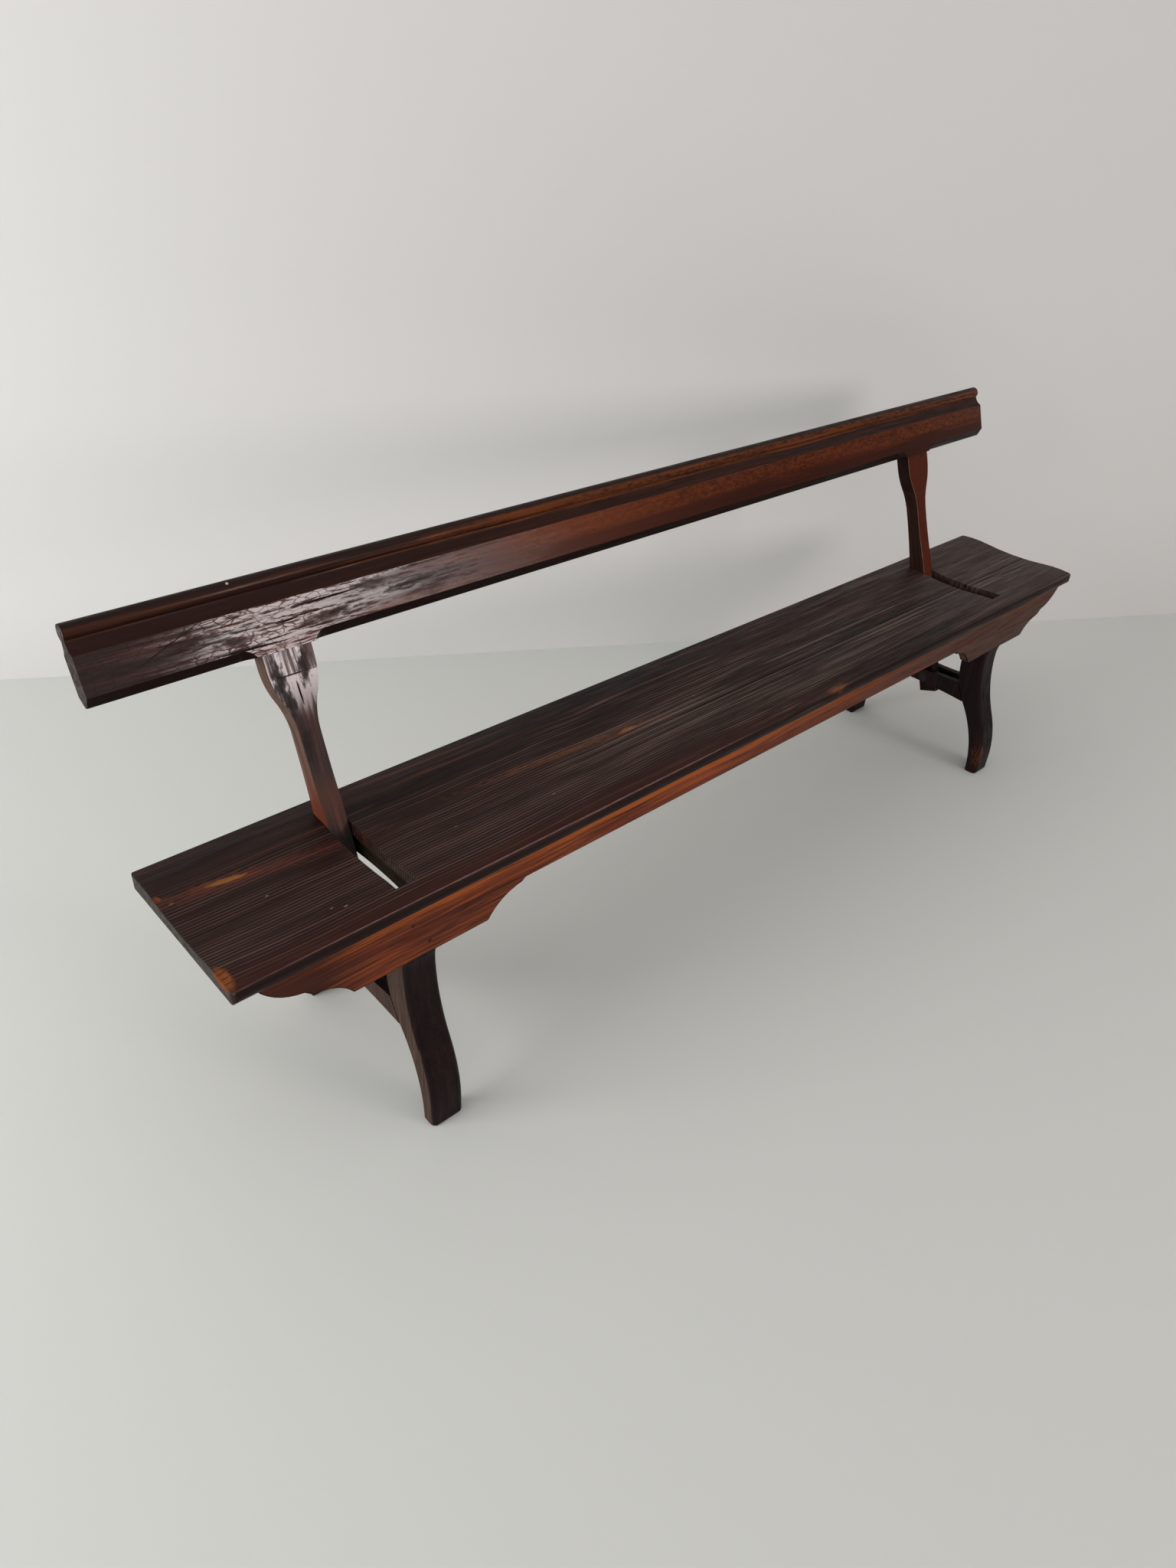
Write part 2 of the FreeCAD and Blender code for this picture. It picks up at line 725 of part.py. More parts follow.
def stopped_chamfer(body, name, side):
    """Chamfer one lower edge. The side is 1 for the rear edge and -1 for the front one."""
    depth = "chamfer_run * chamfer_drop / sqrt(chamfer_run^2 + chamfer_drop^2)"
    run_out = f"({depth} + chamfer_overrun)"
    tilt = f"{side} * (atan(chamfer_drop / chamfer_run) - 180 deg)"
    offset = f"placement(vector(0; back_low + chamfer_drop / 2; {-side} * (back_half - chamfer_run / 2)); " \
             f"rotation(vector(1; 0; 0); {tilt}))"
    sketch = new_sketch(body, f"{name}Runs", "XZ_Plane", offset)
    inner = "(frame_offset - chamfer_gap)"
    outer = "(frame_offset + chamfer_gap)"
    past_end = "(back_length / 2 + stop_run)"
    add_loop(sketch, both_halves([
        (inner, "0", "stop_bow"),
        (f"{inner} + stop_run", run_out),
    ]))
    add_loop(sketch, [
        (outer, "0"),
        (past_end, "0"),
        (past_end, run_out),
        (f"{outer} - stop_run", run_out, "stop_bow"),
    ])
    add_loop(sketch, [
        (f"-{past_end}", "0"),
        (f"-{outer}", "0", "stop_bow"),
        (f"-{outer} + stop_run", run_out),
        (f"-{past_end}", run_out),
    ])
    pocket(body, sketch, name, "2 * (chamfer_run + chamfer_drop)")


def back_rail(label):
    body = new_body(label.title().replace("_", ""))
    section = new_sketch(body, "Section", "YZ_Plane")
    add_loop(section, both_halves([
        ("back_half", "back_low"),
        ("back_half", "back_shoulder", "-cove_bow"),
        ("quirk_half", "cove_low"),
        ("quirk_half", "bead_centre"),
    ]))
    pad(body, section, "Board", "back_length")
    bead = new_sketch(body, "BeadSection", "YZ_Plane")
    add_circle(bead, "0", "bead_centre", "bead_radius")
    pad(body, bead, "Bead", "back_length")
    mortises = new_sketch(body, "Mortises", "XZ_Plane")
    half = "(arm_tenon_width / 2 + joint_play)"
    for middle in ("-frame_offset", "frame_offset"):
        add_rectangle(mortises, f"{middle} - {half}", "back_low - arm_tenon_thickness",
                      f"{middle} + {half}", "back_low + arm_tenon_length + joint_play")
    pocket(body, mortises, "ArmMortises", "arm_tenon_thickness + 2 * joint_play")
    stopped_chamfer(body, "RearChamfer", 1)
    stopped_chamfer(body, "FrontChamfer", -1)
    return body


def arm_pegs():
    """Make the pegs that pin the arms' tenons, driven in from the rear of the rail."""
    pegs = []
    for middle in ("-frame_offset", "frame_offset"):
        for spread in ("-arm_peg_spread", "arm_peg_spread"):
            peg = primitive("Part::Cylinder", f"ArmPeg{len(pegs) + 1}", Radius="arm_peg_radius",
                            Height="arm_peg_length")
            leaning = "placement(vector(0; -pivot_setback; pivot_height); rotation(vector(1; 0; 0); -lean))"
            across = f"vector({middle} + {spread}; back_half; back_low + arm_peg_rise)"
            bind(peg, Placement=f"{leaning} * placement({across}; rotation(vector(1; 0; 0); 90))")
            pegs.append(peg)
    return join("ArmPegs", pegs)


# Fixings first, because each is also the shape of its own hole.

pegs = keep("tenon_pegs", tenon_pegs())
nails = keep("apron_nails", apron_nails())
screws = keep("batten_screws", batten_screws())
back_pegs = keep("arm_pegs", arm_pegs())
leg_holes = join("LegHoles", [pegs, nails, screws])

cut_with("seat_front_board", seat_board("seat_front_board", -1), screws)
cut_with("seat_rear_board", seat_board("seat_rear_board", 1), screws)
keep("seat_tongues", seat_tongues())
keep("glue_blocks", glue_blocks())
cut_with("centre_seat_batten", centre_batten(), screws)

for name, sign in (("front", "-"), ("rear", "")):
    board = apron(f"{name}_apron")
    place(board, y=f"{sign}(apron_face - apron_thickness / 2)")
    cut_with(f"{name}_apron", board, nails)

for name, sign, angle in (("left", -1, "180"), ("right", 1, "0")):
    middle = f"{sign} * frame_offset"
    cut_with(f"{name}_seat_batten", side_batten(f"{name}_seat_batten", sign), screws)
    for end, turn in (("front", "180"), ("rear", "0")):
        blank = leg(f"{name}_{end}_leg")
        place(blank, middle, angle=turn)
        cut_with(f"{name}_{end}_leg", blank, leg_holes)
    rail = cross_rail(f"{name}_cross_rail")
    place(rail, middle, angle=angle)
    cut_with(f"{name}_cross_rail", rail, pegs)
    keep(f"{name}_pivot_bolt", pivot_bolt(f"{name}_pivot_bolt", angle))
    keep(f"{name}_pivot_nut", pivot_nut(f"{name}_pivot_nut", sign))
    arm = swing_arm(f"{name}_swing_arm")
    place_leaning(arm, middle)
    cut_with(f"{name}_swing_arm", arm, back_pegs)
keep("pivot_washers", pivot_washers())

rail = back_rail("back_rail")
place_leaning(rail)
cut_with("back_rail", rail, back_pegs)

doc.recompute()
failed = [item.Name for item in doc.Objects if {"Invalid", "Error"} & set(item.State)]
failed += [item.Label for item in nodes if item.Shape.isNull() or not item.Shape.isValid()]
if failed:
    raise RuntimeError(f"these pieces did not build: {failed}")

os.makedirs("parts", exist_ok=True)
for item in nodes:
    item.Shape.exportStep(f"parts/{item.Label}.step")
    box = item.Shape.BoundBox
    print(f"{item.Label}: {len(item.Shape.Solids)} solids, {item.Shape.Volume / 1000:.1f} cm3, "
          f"{box.XLength:.1f} x {box.YLength:.1f} x {box.ZLength:.1f} mm")
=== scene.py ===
import json
import math
from types import SimpleNamespace
import bmesh
import bpy
from mathutils import Euler, Matrix, Quaternion, Vector


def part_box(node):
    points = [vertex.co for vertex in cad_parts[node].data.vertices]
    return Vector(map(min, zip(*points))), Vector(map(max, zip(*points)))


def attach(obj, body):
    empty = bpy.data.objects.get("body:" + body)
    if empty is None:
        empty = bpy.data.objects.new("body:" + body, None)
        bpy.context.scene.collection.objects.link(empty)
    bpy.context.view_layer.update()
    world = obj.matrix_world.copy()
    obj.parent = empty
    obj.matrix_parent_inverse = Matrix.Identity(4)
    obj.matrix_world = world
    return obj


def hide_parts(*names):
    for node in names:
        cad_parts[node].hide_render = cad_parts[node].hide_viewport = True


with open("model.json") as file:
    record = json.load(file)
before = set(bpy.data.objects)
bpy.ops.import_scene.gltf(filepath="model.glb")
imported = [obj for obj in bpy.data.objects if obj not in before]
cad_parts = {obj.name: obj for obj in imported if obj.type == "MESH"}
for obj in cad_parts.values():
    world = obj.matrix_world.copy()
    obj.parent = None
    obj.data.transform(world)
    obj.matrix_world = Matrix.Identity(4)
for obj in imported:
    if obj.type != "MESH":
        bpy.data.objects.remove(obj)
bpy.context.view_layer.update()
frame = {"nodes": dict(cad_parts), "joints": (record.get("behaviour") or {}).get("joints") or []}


# Legs: four legs sawn to an S from thick plank, chamfered on the outer corners and stained
# nearly black. Their heads are nailed behind the aprons and a cross rail joins each pair.
# Boots and mops have rounded every arris. The outer faces are a lighter grey brown, partly dust and partly
# painted light from the left.

MM = 0.001
SHARP_EDGE = math.radians(35)
SHORT_EDGE = 3 * MM
SLIVER = 0.01 * MM
MARK_DEPTH = 14 * MM


def srgb(text):
    """Turn an sRGB hex value into a linear colour."""
    channels = [int(text[start:start + 2], 16) / 255 for start in (1, 3, 5)]
    linear = [part / 12.92 if part <= 0.04045 else ((part + 0.055) / 1.055) ** 2.4 for part in channels]
    return (*linear, 1.0)


def add_node(tree, kind, inputs=(), stops=(), **settings):
    """Add a node with its settings, its ramp's stops, and its inputs, each a link or a value.

    Inputs go by name or by place. A Map Range reads 0, takes in 1 to 2 and gives out 3 to 4.
    A Mix lays 7 over 6 for colours, or 3 over 2 for numbers, by the share in 0."""
    node = tree.nodes.new(kind)
    for name, setting in settings.items():
        setattr(node, name, setting)
    if stops:
        elements = node.color_ramp.elements
        while len(elements) < len(stops):
            elements.new(1)
        for element, (position, colour) in zip(elements, stops):
            element.position = position
            element.color = srgb(colour)
    for name, source in dict(inputs).items():
        if isinstance(source, bpy.types.NodeSocket):
            tree.links.new(source, node.inputs[name])
        else:
            node.inputs[name].default_value = source
    return node


def stretched(tree, place, length, width, detail, roughness=0.6):
    """Draw a noise whose spots are long with the grain and narrow across it."""
    size = (1 / length, 1 / width, 1 / width)
    scaled = add_node(tree, "ShaderNodeVectorMath", {0: place, 1: size}, operation="MULTIPLY").outputs[0]
    spots = {"Vector": scaled, "Scale": 1, "Detail": detail, "Roughness": roughness}
    return add_node(tree, "ShaderNodeTexNoise", spots).outputs["Fac"]


def stained_wood(name, deep, body, bright, origin=(0, 0, 0), turn=(0, 0, 0),
                 streak_width=8 * MM, line_width=2.4 * MM, specular=0.2):
    """Start a stained and varnished softwood whose grain runs along X of its own turned place.

    Under old stain it shows three things: broad patches where the stain took more or less,
    streaks of early and late wood, and fine lines of open grain that hold the dirt. The lines
    of real wood are finer than these, which are drawn as wide as they need to show."""
    material = bpy.data.materials.new(name)
    material.use_nodes = True
    tree = material.node_tree
    shader = tree.nodes["Principled BSDF"]
    shader.inputs["Specular IOR Level"].default_value = specular
    bend_length = 300 * MM
    bend_width = 20 * MM
    where = add_node(tree, "ShaderNodeTexCoord").outputs["Object"]
    moved = add_node(tree, "ShaderNodeVectorMath", {0: where, 1: origin}, operation="SUBTRACT").outputs[0]
    place = add_node(tree, "ShaderNodeMapping", {"Vector": moved, "Rotation": turn}).outputs[0]
    bend = add_node(tree, "ShaderNodeTexNoise", {"Vector": place, "Scale": 1 / bend_length, "Detail": 1})
    sway = add_node(tree, "ShaderNodeVectorMath", {0: bend.outputs["Color"], 1: (0, bend_width, bend_width)},
                    operation="MULTIPLY").outputs[0]
    grain = add_node(tree, "ShaderNodeVectorMath", {0: place, 1: sway}).outputs[0]
    patches = stretched(tree, grain, length=420 * MM, width=60 * MM, detail=3)
    streaks = stretched(tree, grain, length=500 * MM, width=streak_width, detail=4)
    lines = stretched(tree, grain, length=260 * MM, width=line_width, detail=2)
    flecks = stretched(tree, grain, length=14 * MM, width=5 * MM, detail=4)
    tone = add_node(tree, "ShaderNodeValToRGB", {"Fac": patches}, stops=[(0.36, deep), (0.62, body)])
    streak = add_node(tree, "ShaderNodeMapRange", {0: streaks, 1: 0.5, 2: 0.74})
    warm = add_node(tree, "ShaderNodeMix", {0: streak.outputs[0], 6: tone.outputs[0], 7: srgb(bright)},
                    data_type="RGBA").outputs[2]
    line = add_node(tree, "ShaderNodeMapRange", {0: lines, 1: 0.34, 2: 0.5, 3: 0.4, 4: 1})
    colour = add_node(tree, "ShaderNodeMix", {0: 1.0, 6: warm, 7: line.outputs[0]},
                      data_type="RGBA", blend_type="MULTIPLY").outputs[2]
    axes = add_node(tree, "ShaderNodeSeparateXYZ", {0: place}).outputs
    return SimpleNamespace(
        material=material, tree=tree, shader=shader, place=place, grain=grain, axes=axes,
        colour=colour, lines=lines, streaks=streaks, patches=patches, flecks=flecks,
        origin=Vector(origin), turn=Euler(turn).to_matrix(), rubs=[], height=lines)


def tint(wood, mask, colour, amount=1.0):
    """Lay a colour over a wood where a mask says."""
    share = add_node(wood.tree, "ShaderNodeMath", {0: mask, 1: amount}, operation="MULTIPLY").outputs[0]
    wood.colour = add_node(wood.tree, "ShaderNodeMix", {0: share, 6: wood.colour, 7: srgb(colour)},
                           data_type="RGBA").outputs[2]


def rub(wood, mask, amount, roughness=0.9):
    """Note that a wood is worn to another roughness where a mask says."""
    share = add_node(wood.tree, "ShaderNodeMath", {0: mask, 1: amount}, operation="MULTIPLY").outputs[0]
    wood.rubs.append((share, roughness))


def mark(wood, start, end, width, colour, amount=1.0, soft=0.3, dulling=0.0):
    """Stain a wood along a short line on its face, in mm, with ragged edges, and dull it if asked."""
    first = wood.on_face(*start)
    last = wood.on_face(*end)
    along = last - first
    reach = Vector((along.length / 2, width * MM / 2, width * MM / 2))
    reach[wood.depth_axis] = MARK_DEPTH
    local = add_node(wood.tree, "ShaderNodeMapping",
                     {"Vector": wood.place, "Location": (first + last) / 2, "Scale": reach,
                      "Rotation": along.to_track_quat("X", "Z").to_euler()},
                     vector_type="TEXTURE").outputs[0]
    away = add_node(wood.tree, "ShaderNodeVectorMath", {0: local}, operation="LENGTH").outputs["Value"]
    rag = add_node(wood.tree, "ShaderNodeMapRange", {0: wood.flecks, 1: 0.3, 2: 0.7, 3: -soft, 4: soft})
    edge = add_node(wood.tree, "ShaderNodeMath", {0: away, 1: rag.outputs[0]}).outputs[0]
    inside = {0: edge, 1: 1 - soft, 2: 1 + soft, 3: 1, 4: 0}
    mask = add_node(wood.tree, "ShaderNodeMapRange", inside).outputs[0]
    tint(wood, mask, colour, amount)
    if dulling:
        rub(wood, mask, dulling)


def varnish(wood, smooth, dull, relief, sound=0.42, gone=0.62, length=110 * MM, width=9 * MM):
    """Finish a wood: sound varnish is smooth, rubbed varnish dull, and the grain stands out."""
    tree = wood.tree
    tree.links.new(wood.colour, wood.shader.inputs["Base Color"])
    wear = stretched(tree, wood.place, length, width, detail=6, roughness=0.65)
    gloss = add_node(tree, "ShaderNodeMapRange", {0: wear, 1: sound, 2: gone, 3: smooth, 4: dull}).outputs[0]
    for share, roughness in wood.rubs:
        gloss = add_node(tree, "ShaderNodeMix", {0: share, 2: gloss, 3: roughness}).outputs[0]
    tree.links.new(gloss, wood.shader.inputs["Roughness"])
    bump = add_node(tree, "ShaderNodeBump", {"Height": wood.height, "Distance": relief, "Strength": 1.0})
    tree.links.new(bump.outputs[0], wood.shader.inputs["Normal"])


def worn_copy(node, slot, body, *woods):
    """Copy a node with its faces joined up, in the first of its woods and ready for the others."""
    piece = bpy.data.objects.new(f"{node}_wood", frame["nodes"][node].data.copy())
    bpy.context.scene.collection.objects.link(piece)
    piece.data.materials.clear()
    for wood in woods:
        piece.data.materials.append(wood.material)
    bpy.ops.object.select_all(action="DESELECT")
    piece.select_set(True)
    bpy.context.view_layer.objects.active = piece
    bpy.ops.object.mode_set(mode="EDIT")
    bpy.ops.mesh.select_all(action="SELECT")
    bpy.ops.mesh.remove_doubles(threshold=SLIVER)
    bpy.ops.mesh.dissolve_limited(angle_limit=math.radians(0.5))
    bpy.ops.object.mode_set(mode="OBJECT")
    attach(piece, body)
    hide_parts(node)
    return piece


def refinish(piece, index, wanted):
    """Give the faces whose normal and middle pass a test another of a piece's woods."""
    for face in piece.data.polygons:
        if wanted(face.normal, face.center):
            face.material_index = index


def clear_slivers(piece):
    """Merge the points and faces that a bevel or a cut leaves too small to see."""
    bpy.context.view_layer.objects.active = piece
    bpy.ops.object.mode_set(mode="EDIT")
    bpy.ops.mesh.select_all(action="SELECT")
    bpy.ops.mesh.remove_doubles(threshold=SLIVER)
    bpy.ops.mesh.dissolve_degenerate(threshold=SLIVER)
    bpy.ops.object.mode_set(mode="OBJECT")


def wear_edges(piece, width, wanted, index=-1):
    """Round the sharp edges whose middle and length pass a test, in another wood if one is given."""
    bpy.ops.object.select_all(action="DESELECT")
    bpy.context.view_layer.objects.active = piece
    bpy.ops.object.mode_set(mode="EDIT")
    bpy.ops.mesh.select_mode(type="EDGE")
    bpy.ops.mesh.select_all(action="DESELECT")
    mesh = bmesh.from_edit_mesh(piece.data)
    for edge in mesh.edges:
        middle = (edge.verts[0].co + edge.verts[1].co) / 2
        if edge.calc_face_angle(0) > SHARP_EDGE and wanted(middle, edge.calc_length()):
            edge.select_set(True)
    bmesh.update_edit_mesh(piece.data)
    bpy.ops.mesh.bevel(offset=width, segments=3, clamp_overlap=True, material=index)
    bpy.ops.object.mode_set(mode="OBJECT")
    clear_slivers(piece)


def smooth_faces(piece):
    """Shade a piece so that rounds are smooth and flat faces stay flat."""
    bpy.ops.object.select_all(action="DESELECT")
    piece.select_set(True)
    bpy.context.view_layer.objects.active = piece
    bpy.ops.object.shade_smooth_by_angle(angle=SHARP_EDGE)
    modifier = piece.modifiers.new("even_faces", "WEIGHTED_NORMAL")
    modifier.keep_sharp = True
    bpy.ops.object.modifier_apply(modifier=modifier.name)


def outer(normal, middle):
    """Tell a face that looks away from the middle of the bench."""
    return normal.x * math.copysign(1, middle.x) > 0.8


def long_edge(middle, length):
    """Tell an edge that isn't one short step of a curve."""
    return length > SHORT_EDGE


# Stained pitch pine, rubbed dull: nearly black, with a red tinge where the stain is thin and one
# bare orange patch at the right foot.
UPRIGHT_GRAIN = (0, math.radians(90), 0)
TOE = -210 * MM
leg_wood = stained_wood("stained_pitch_pine_legs", "#110808", "#1b0c0b", "#291311", turn=UPRIGHT_GRAIN,
                        streak_width=9 * MM, line_width=2.2 * MM, specular=0.12)
leg_wood.on_face = lambda x, z: Vector((z * MM, TOE, -x * MM))
leg_wood.depth_axis = 1
mark(leg_wood, (822, 22), (822, 80), 13, "#74401f", amount=0.7, soft=0.6)
varnish(leg_wood, smooth=0.4, dull=0.62, relief=0.2 * MM)

# The same wood on the outer faces, a dull grey brown that is partly dust and partly painted light from the
# left.
leg_side = stained_wood("faded_pitch_pine_leg_sides", "#3b2c25", "#493830", "#544238", turn=UPRIGHT_GRAIN,
                        streak_width=9 * MM, line_width=2.2 * MM, specular=0.1)
varnish(leg_side, smooth=0.6, dull=0.8, relief=0.1 * MM)
LEG_SIDE = 1
for side in ("left", "right"):
    for end in ("front", "rear"):
        leg = worn_copy(f"{side}_{end}_leg", "leg_wood", "stand", leg_wood, leg_side)
        refinish(leg, LEG_SIDE, outer)
        wear_edges(leg, 3.5 * MM, long_edge)
        smooth_faces(leg)


# Cross rails: one in each leg frame, tenoned into both legs and pegged. The long mortise in
# the middle takes the foot of the arm. The same plank and stain as the legs, hand-planed.

for side in ("left", "right"):
    cross_rail = worn_copy(f"{side}_cross_rail", "leg_wood", "stand", leg_wood, leg_side)
    refinish(cross_rail, LEG_SIDE, outer)
    wear_edges(cross_rail, 1.5 * MM, long_edge)
    smooth_faces(cross_rail)


# Pegs: split from hardwood, driven through the tenons and the arms' tenons and pared flush.
# Their end grain has drunk more stain than the wood round them.

# Stained oak: small, nearly black rounds with no shine.
peg_wood = stained_wood("stained_oak_pegs", "#120a08", "#1f110d", "#2f1a12",
                        streak_width=2 * MM, line_width=0.8 * MM, specular=0.1)
varnish(peg_wood, smooth=0.5, dull=0.7, relief=0.1 * MM)


def dress(node, material):
    """Give a piece of the frame its finish in place of its plain one."""
    for slot in frame["nodes"][node].material_slots:
        slot.material = material


dress("tenon_pegs", peg_wood.material)
dress("arm_pegs", peg_wood.material)


# Aprons: long boards on edge below the seat, with a dropped and moulded end at each leg.
# Their red stain has worn to orange just below the seat's nose, and the rounded edges are nearly black with
# painted shade.

FAR_AWAY = 10


def band(wood, axis, low, high, soft):
    """Mask what lies between two places along one axis of a wood, with ragged borders."""
    shift = add_node(wood.tree, "ShaderNodeMapRange", {0: wood.streaks, 1: 0.3, 2: 0.7, 3: -soft, 4: soft})
    at = add_node(wood.tree, "ShaderNodeMath", {0: wood.axes[axis], 1: shift.outputs[0]}).outputs[0]
    rise = add_node(wood.tree, "ShaderNodeMapRange", {0: at, 1: low - soft, 2: low + soft})
    fall = add_node(wood.tree, "ShaderNodeMapRange", {0: at, 1: high - soft, 2: high + soft, 3: 1, 4: 0})
    return where_both(wood, rise.outputs[0], fall.outputs[0])


def past(wood, axis, place, soft):
    """Mask all that lies past one place along an axis of a wood."""
    return band(wood, axis, place, FAR_AWAY, soft)


def short_of(wood, axis, place, soft):
    """Mask all that lies short of one place along an axis of a wood."""
    return band(wood, axis, -FAR_AWAY, place, soft)


def where_both(wood, first, second):
    """Join two masks of a wood into one that holds where both do."""
    return add_node(wood.tree, "ShaderNodeMath", {0: first, 1: second}, operation="MULTIPLY").outputs[0]


def worn_where(wood, pattern, none, full):
    """Mask a wood by one of its patterns: untouched at one value of it, worn at the other."""
    return add_node(wood.tree, "ShaderNodeMapRange", {0: pattern, 1: none, 2: full}).outputs[0]


# Stained pitch pine: a warm red brown in long streaks, with little shine, darker at both ends.
apron_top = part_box("front_apron")[1].z
apron_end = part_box("front_apron")[1].x
WORN_STRIP = 17 * MM
LEFT_TIP = -970 * MM
apron_wood = stained_wood("stained_pitch_pine_aprons", "#451c10", "#823c21", "#a35227",
                          streak_width=7 * MM, line_width=2.0 * MM, specular=0.12)
worn_strip = past(apron_wood, "Z", apron_top - WORN_STRIP, 5 * MM)
early_wood = worn_where(apron_wood, apron_wood.streaks, 0.36, 0.6)
tint(apron_wood, where_both(apron_wood, worn_strip, early_wood), "#a8561f", 0.85)
tint(apron_wood, short_of(apron_wood, "X", LEFT_TIP, 50 * MM), "#2c140e", 0.8)
tint(apron_wood, past(apron_wood, "X", 0.25 * apron_end, 300 * MM), "#30211a", 0.8)
varnish(apron_wood, smooth=0.34, dull=0.58, relief=0.2 * MM)

# The same wood on the rounded edges, nearly black: painted shade along the rims, where the rounds turn away
# from the light.
apron_arris = stained_wood("dirty_pitch_pine_apron_rims", "#120a08", "#1d100c", "#3a1d13", specular=0.1)
varnish(apron_arris, smooth=0.5, dull=0.7, relief=0.1 * MM)
ARRIS = 1
for end in ("front", "rear"):
    apron = worn_copy(f"{end}_apron", "apron_wood", "stand", apron_wood, apron_arris)
    wear_edges(apron, 2.5 * MM, long_edge, ARRIS)
    smooth_faces(apron)


# Hidden deal: battens across the underside and along the leg frames, loose tongues in the
# joint and glue blocks in the corners. Sawn and never finished, so it shows saw marks and dust.

# Sawn deal: a dry grey brown with dark lines across, and no shine at all.
SAW_PITCH = 4 * MM
# A wave texture repeats at this many metres when its scale is 1
WAVE_LENGTH = 0.314
deal = stained_wood("sawn_deal", "#2a1f17", "#3d2e22", "#4f3c2b", turn=(0, 0, math.radians(90)),
                    streak_width=10 * MM, line_width=2.0 * MM, specular=0.15)
saw_marks = add_node(deal.tree, "ShaderNodeTexWave",
                     {"Vector": deal.place, "Scale": WAVE_LENGTH / SAW_PITCH, "Distortion": 1.5},
                     bands_direction="X").outputs["Fac"]
tint(deal, worn_where(deal, saw_marks, 0.75, 1.0), "#1f1711", 0.5)
deal.height = saw_marks
varnish(deal, smooth=0.75, dull=0.95, relief=0.3 * MM)
for node in ("left_seat_batten", "centre_seat_batten", "right_seat_batten", "glue_blocks", "seat_tongues"):
    dress(node, deal.material)


# Iron: wrought nails, screws, washers, square nuts and the two pivot bolts, all black from
# the forge and browned by damp air. The apron's nails were stained over with the wood.


def forged_iron(name, scale, bare, rust):
    """Make dark iron whose forge scale is broken by barer and by rusty spots."""
    material = bpy.data.materials.new(name)
    material.use_nodes = True
    tree = material.node_tree
    shader = tree.nodes["Principled BSDF"]
    shader.inputs["Metallic"].default_value = 0.75
    spot_size = 5 * MM
    place = add_node(tree, "ShaderNodeTexCoord").outputs["Object"]
    spots = add_node(tree, "ShaderNodeTexNoise",
                     {"Vector": place, "Scale": 1 / spot_size, "Detail": 6, "Roughness": 0.7}).outputs["Fac"]
    colour = add_node(tree, "ShaderNodeValToRGB", {"Fac": spots},
                      stops=[(0.38, scale), (0.55, bare), (0.68, rust)])
    gloss = add_node(tree, "ShaderNodeMapRange", {0: spots, 1: 0.4, 2: 0.65, 3: 0.45, 4: 0.85})
    bump = add_node(tree, "ShaderNodeBump", {"Height": spots, "Distance": 0.3 * MM, "Strength": 1.0})
    tree.links.new(colour.outputs[0], shader.inputs["Base Color"])
    tree.links.new(gloss.outputs[0], shader.inputs["Roughness"])
    tree.links.new(bump.outputs[0], shader.inputs["Normal"])
    return material


# Wrought iron: black scale with dull brown spots. Under the wood's stain it is a dull red brown,
# so that the nails show only as small dark marks.
iron = forged_iron("browned_wrought_iron", "#191615", "#2c2523", "#56341f")
stained_iron = forged_iron("stained_iron_nails", "#3a1a10", "#4a2214", "#63301b")
dress("apron_nails", stained_iron)
for node in ("batten_screws", "pivot_washers", "left_pivot_bolt", "right_pivot_bolt", "left_pivot_nut",
             "right_pivot_nut"):
    dress(node, iron)


# Seat: two boards, edge-jointed with loose tongues, dished and rounded over at the edges.
# Sitting has polished the top nearly black, left the hard grain standing in fine ridges and
# broken chips and a long gouge out of the left end.

seat_low, seat_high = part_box("seat_front_board")
seat_end = seat_high.x
seat_front = seat_low.y
SEAM = -40.8 * MM


def ridges(wood, pitch, zone, colour):
    """Raise the hard grain of a wood where a mask says, in thin light lines of painted highlight on the
    crests, with the furrows between darker.
    """
    wave = add_node(wood.tree, "ShaderNodeTexWave", {"Vector": wood.grain, "Scale": WAVE_LENGTH / pitch},
                    bands_direction="Y").outputs["Fac"]
    furrow = worn_where(wood, wave, 0.34, 0.05)
    tint(wood, where_both(wood, furrow, zone), "#0b0605", 0.5)
    crest = where_both(wood, worn_where(wood, wave, 0.66, 1.0), worn_where(wood, wood.patches, 0.34, 0.52))
    highlight_zone = where_both(wood, zone, worn_where(wood, wood.streaks, 0.3, 0.58))
    mask = where_both(wood, crest, highlight_zone)
    tint(wood, mask, colour, 0.55)
    wood.height = add_node(wood.tree, "ShaderNodeMath", {0: wood.lines, 1: mask}).outputs[0]


# Waxed pitch pine: nearly black and hardly shiny, with grey lines of hard grain where people sit,
# painted highlight on the ridges' crests, a browner lip at the front on the left, and bare orange wood in
# the chips and the gouge.
seat_wood = stained_wood("waxed_pitch_pine_seat", "#140b09", "#27140f", "#381b13",
                         streak_width=8 * MM, line_width=2.6 * MM, specular=0.11)
seat_wood.on_face = lambda x, y: Vector((x * MM, y * MM, seat_high.z))
seat_wood.depth_axis = 2
tint(seat_wood, worn_where(seat_wood, seat_wood.streaks, 0.46, 0.34), "#0b0504", 0.6)
tint(seat_wood, worn_where(seat_wood, seat_wood.streaks, 0.54, 0.68), "#4a3029", 0.5)
near_part = short_of(seat_wood, "X", 0, 250 * MM)
front_half = band(seat_wood, "Y", seat_front, 40 * MM, 25 * MM)
tint(seat_wood, where_both(seat_wood, near_part, front_half), "#32170f", 0.35)
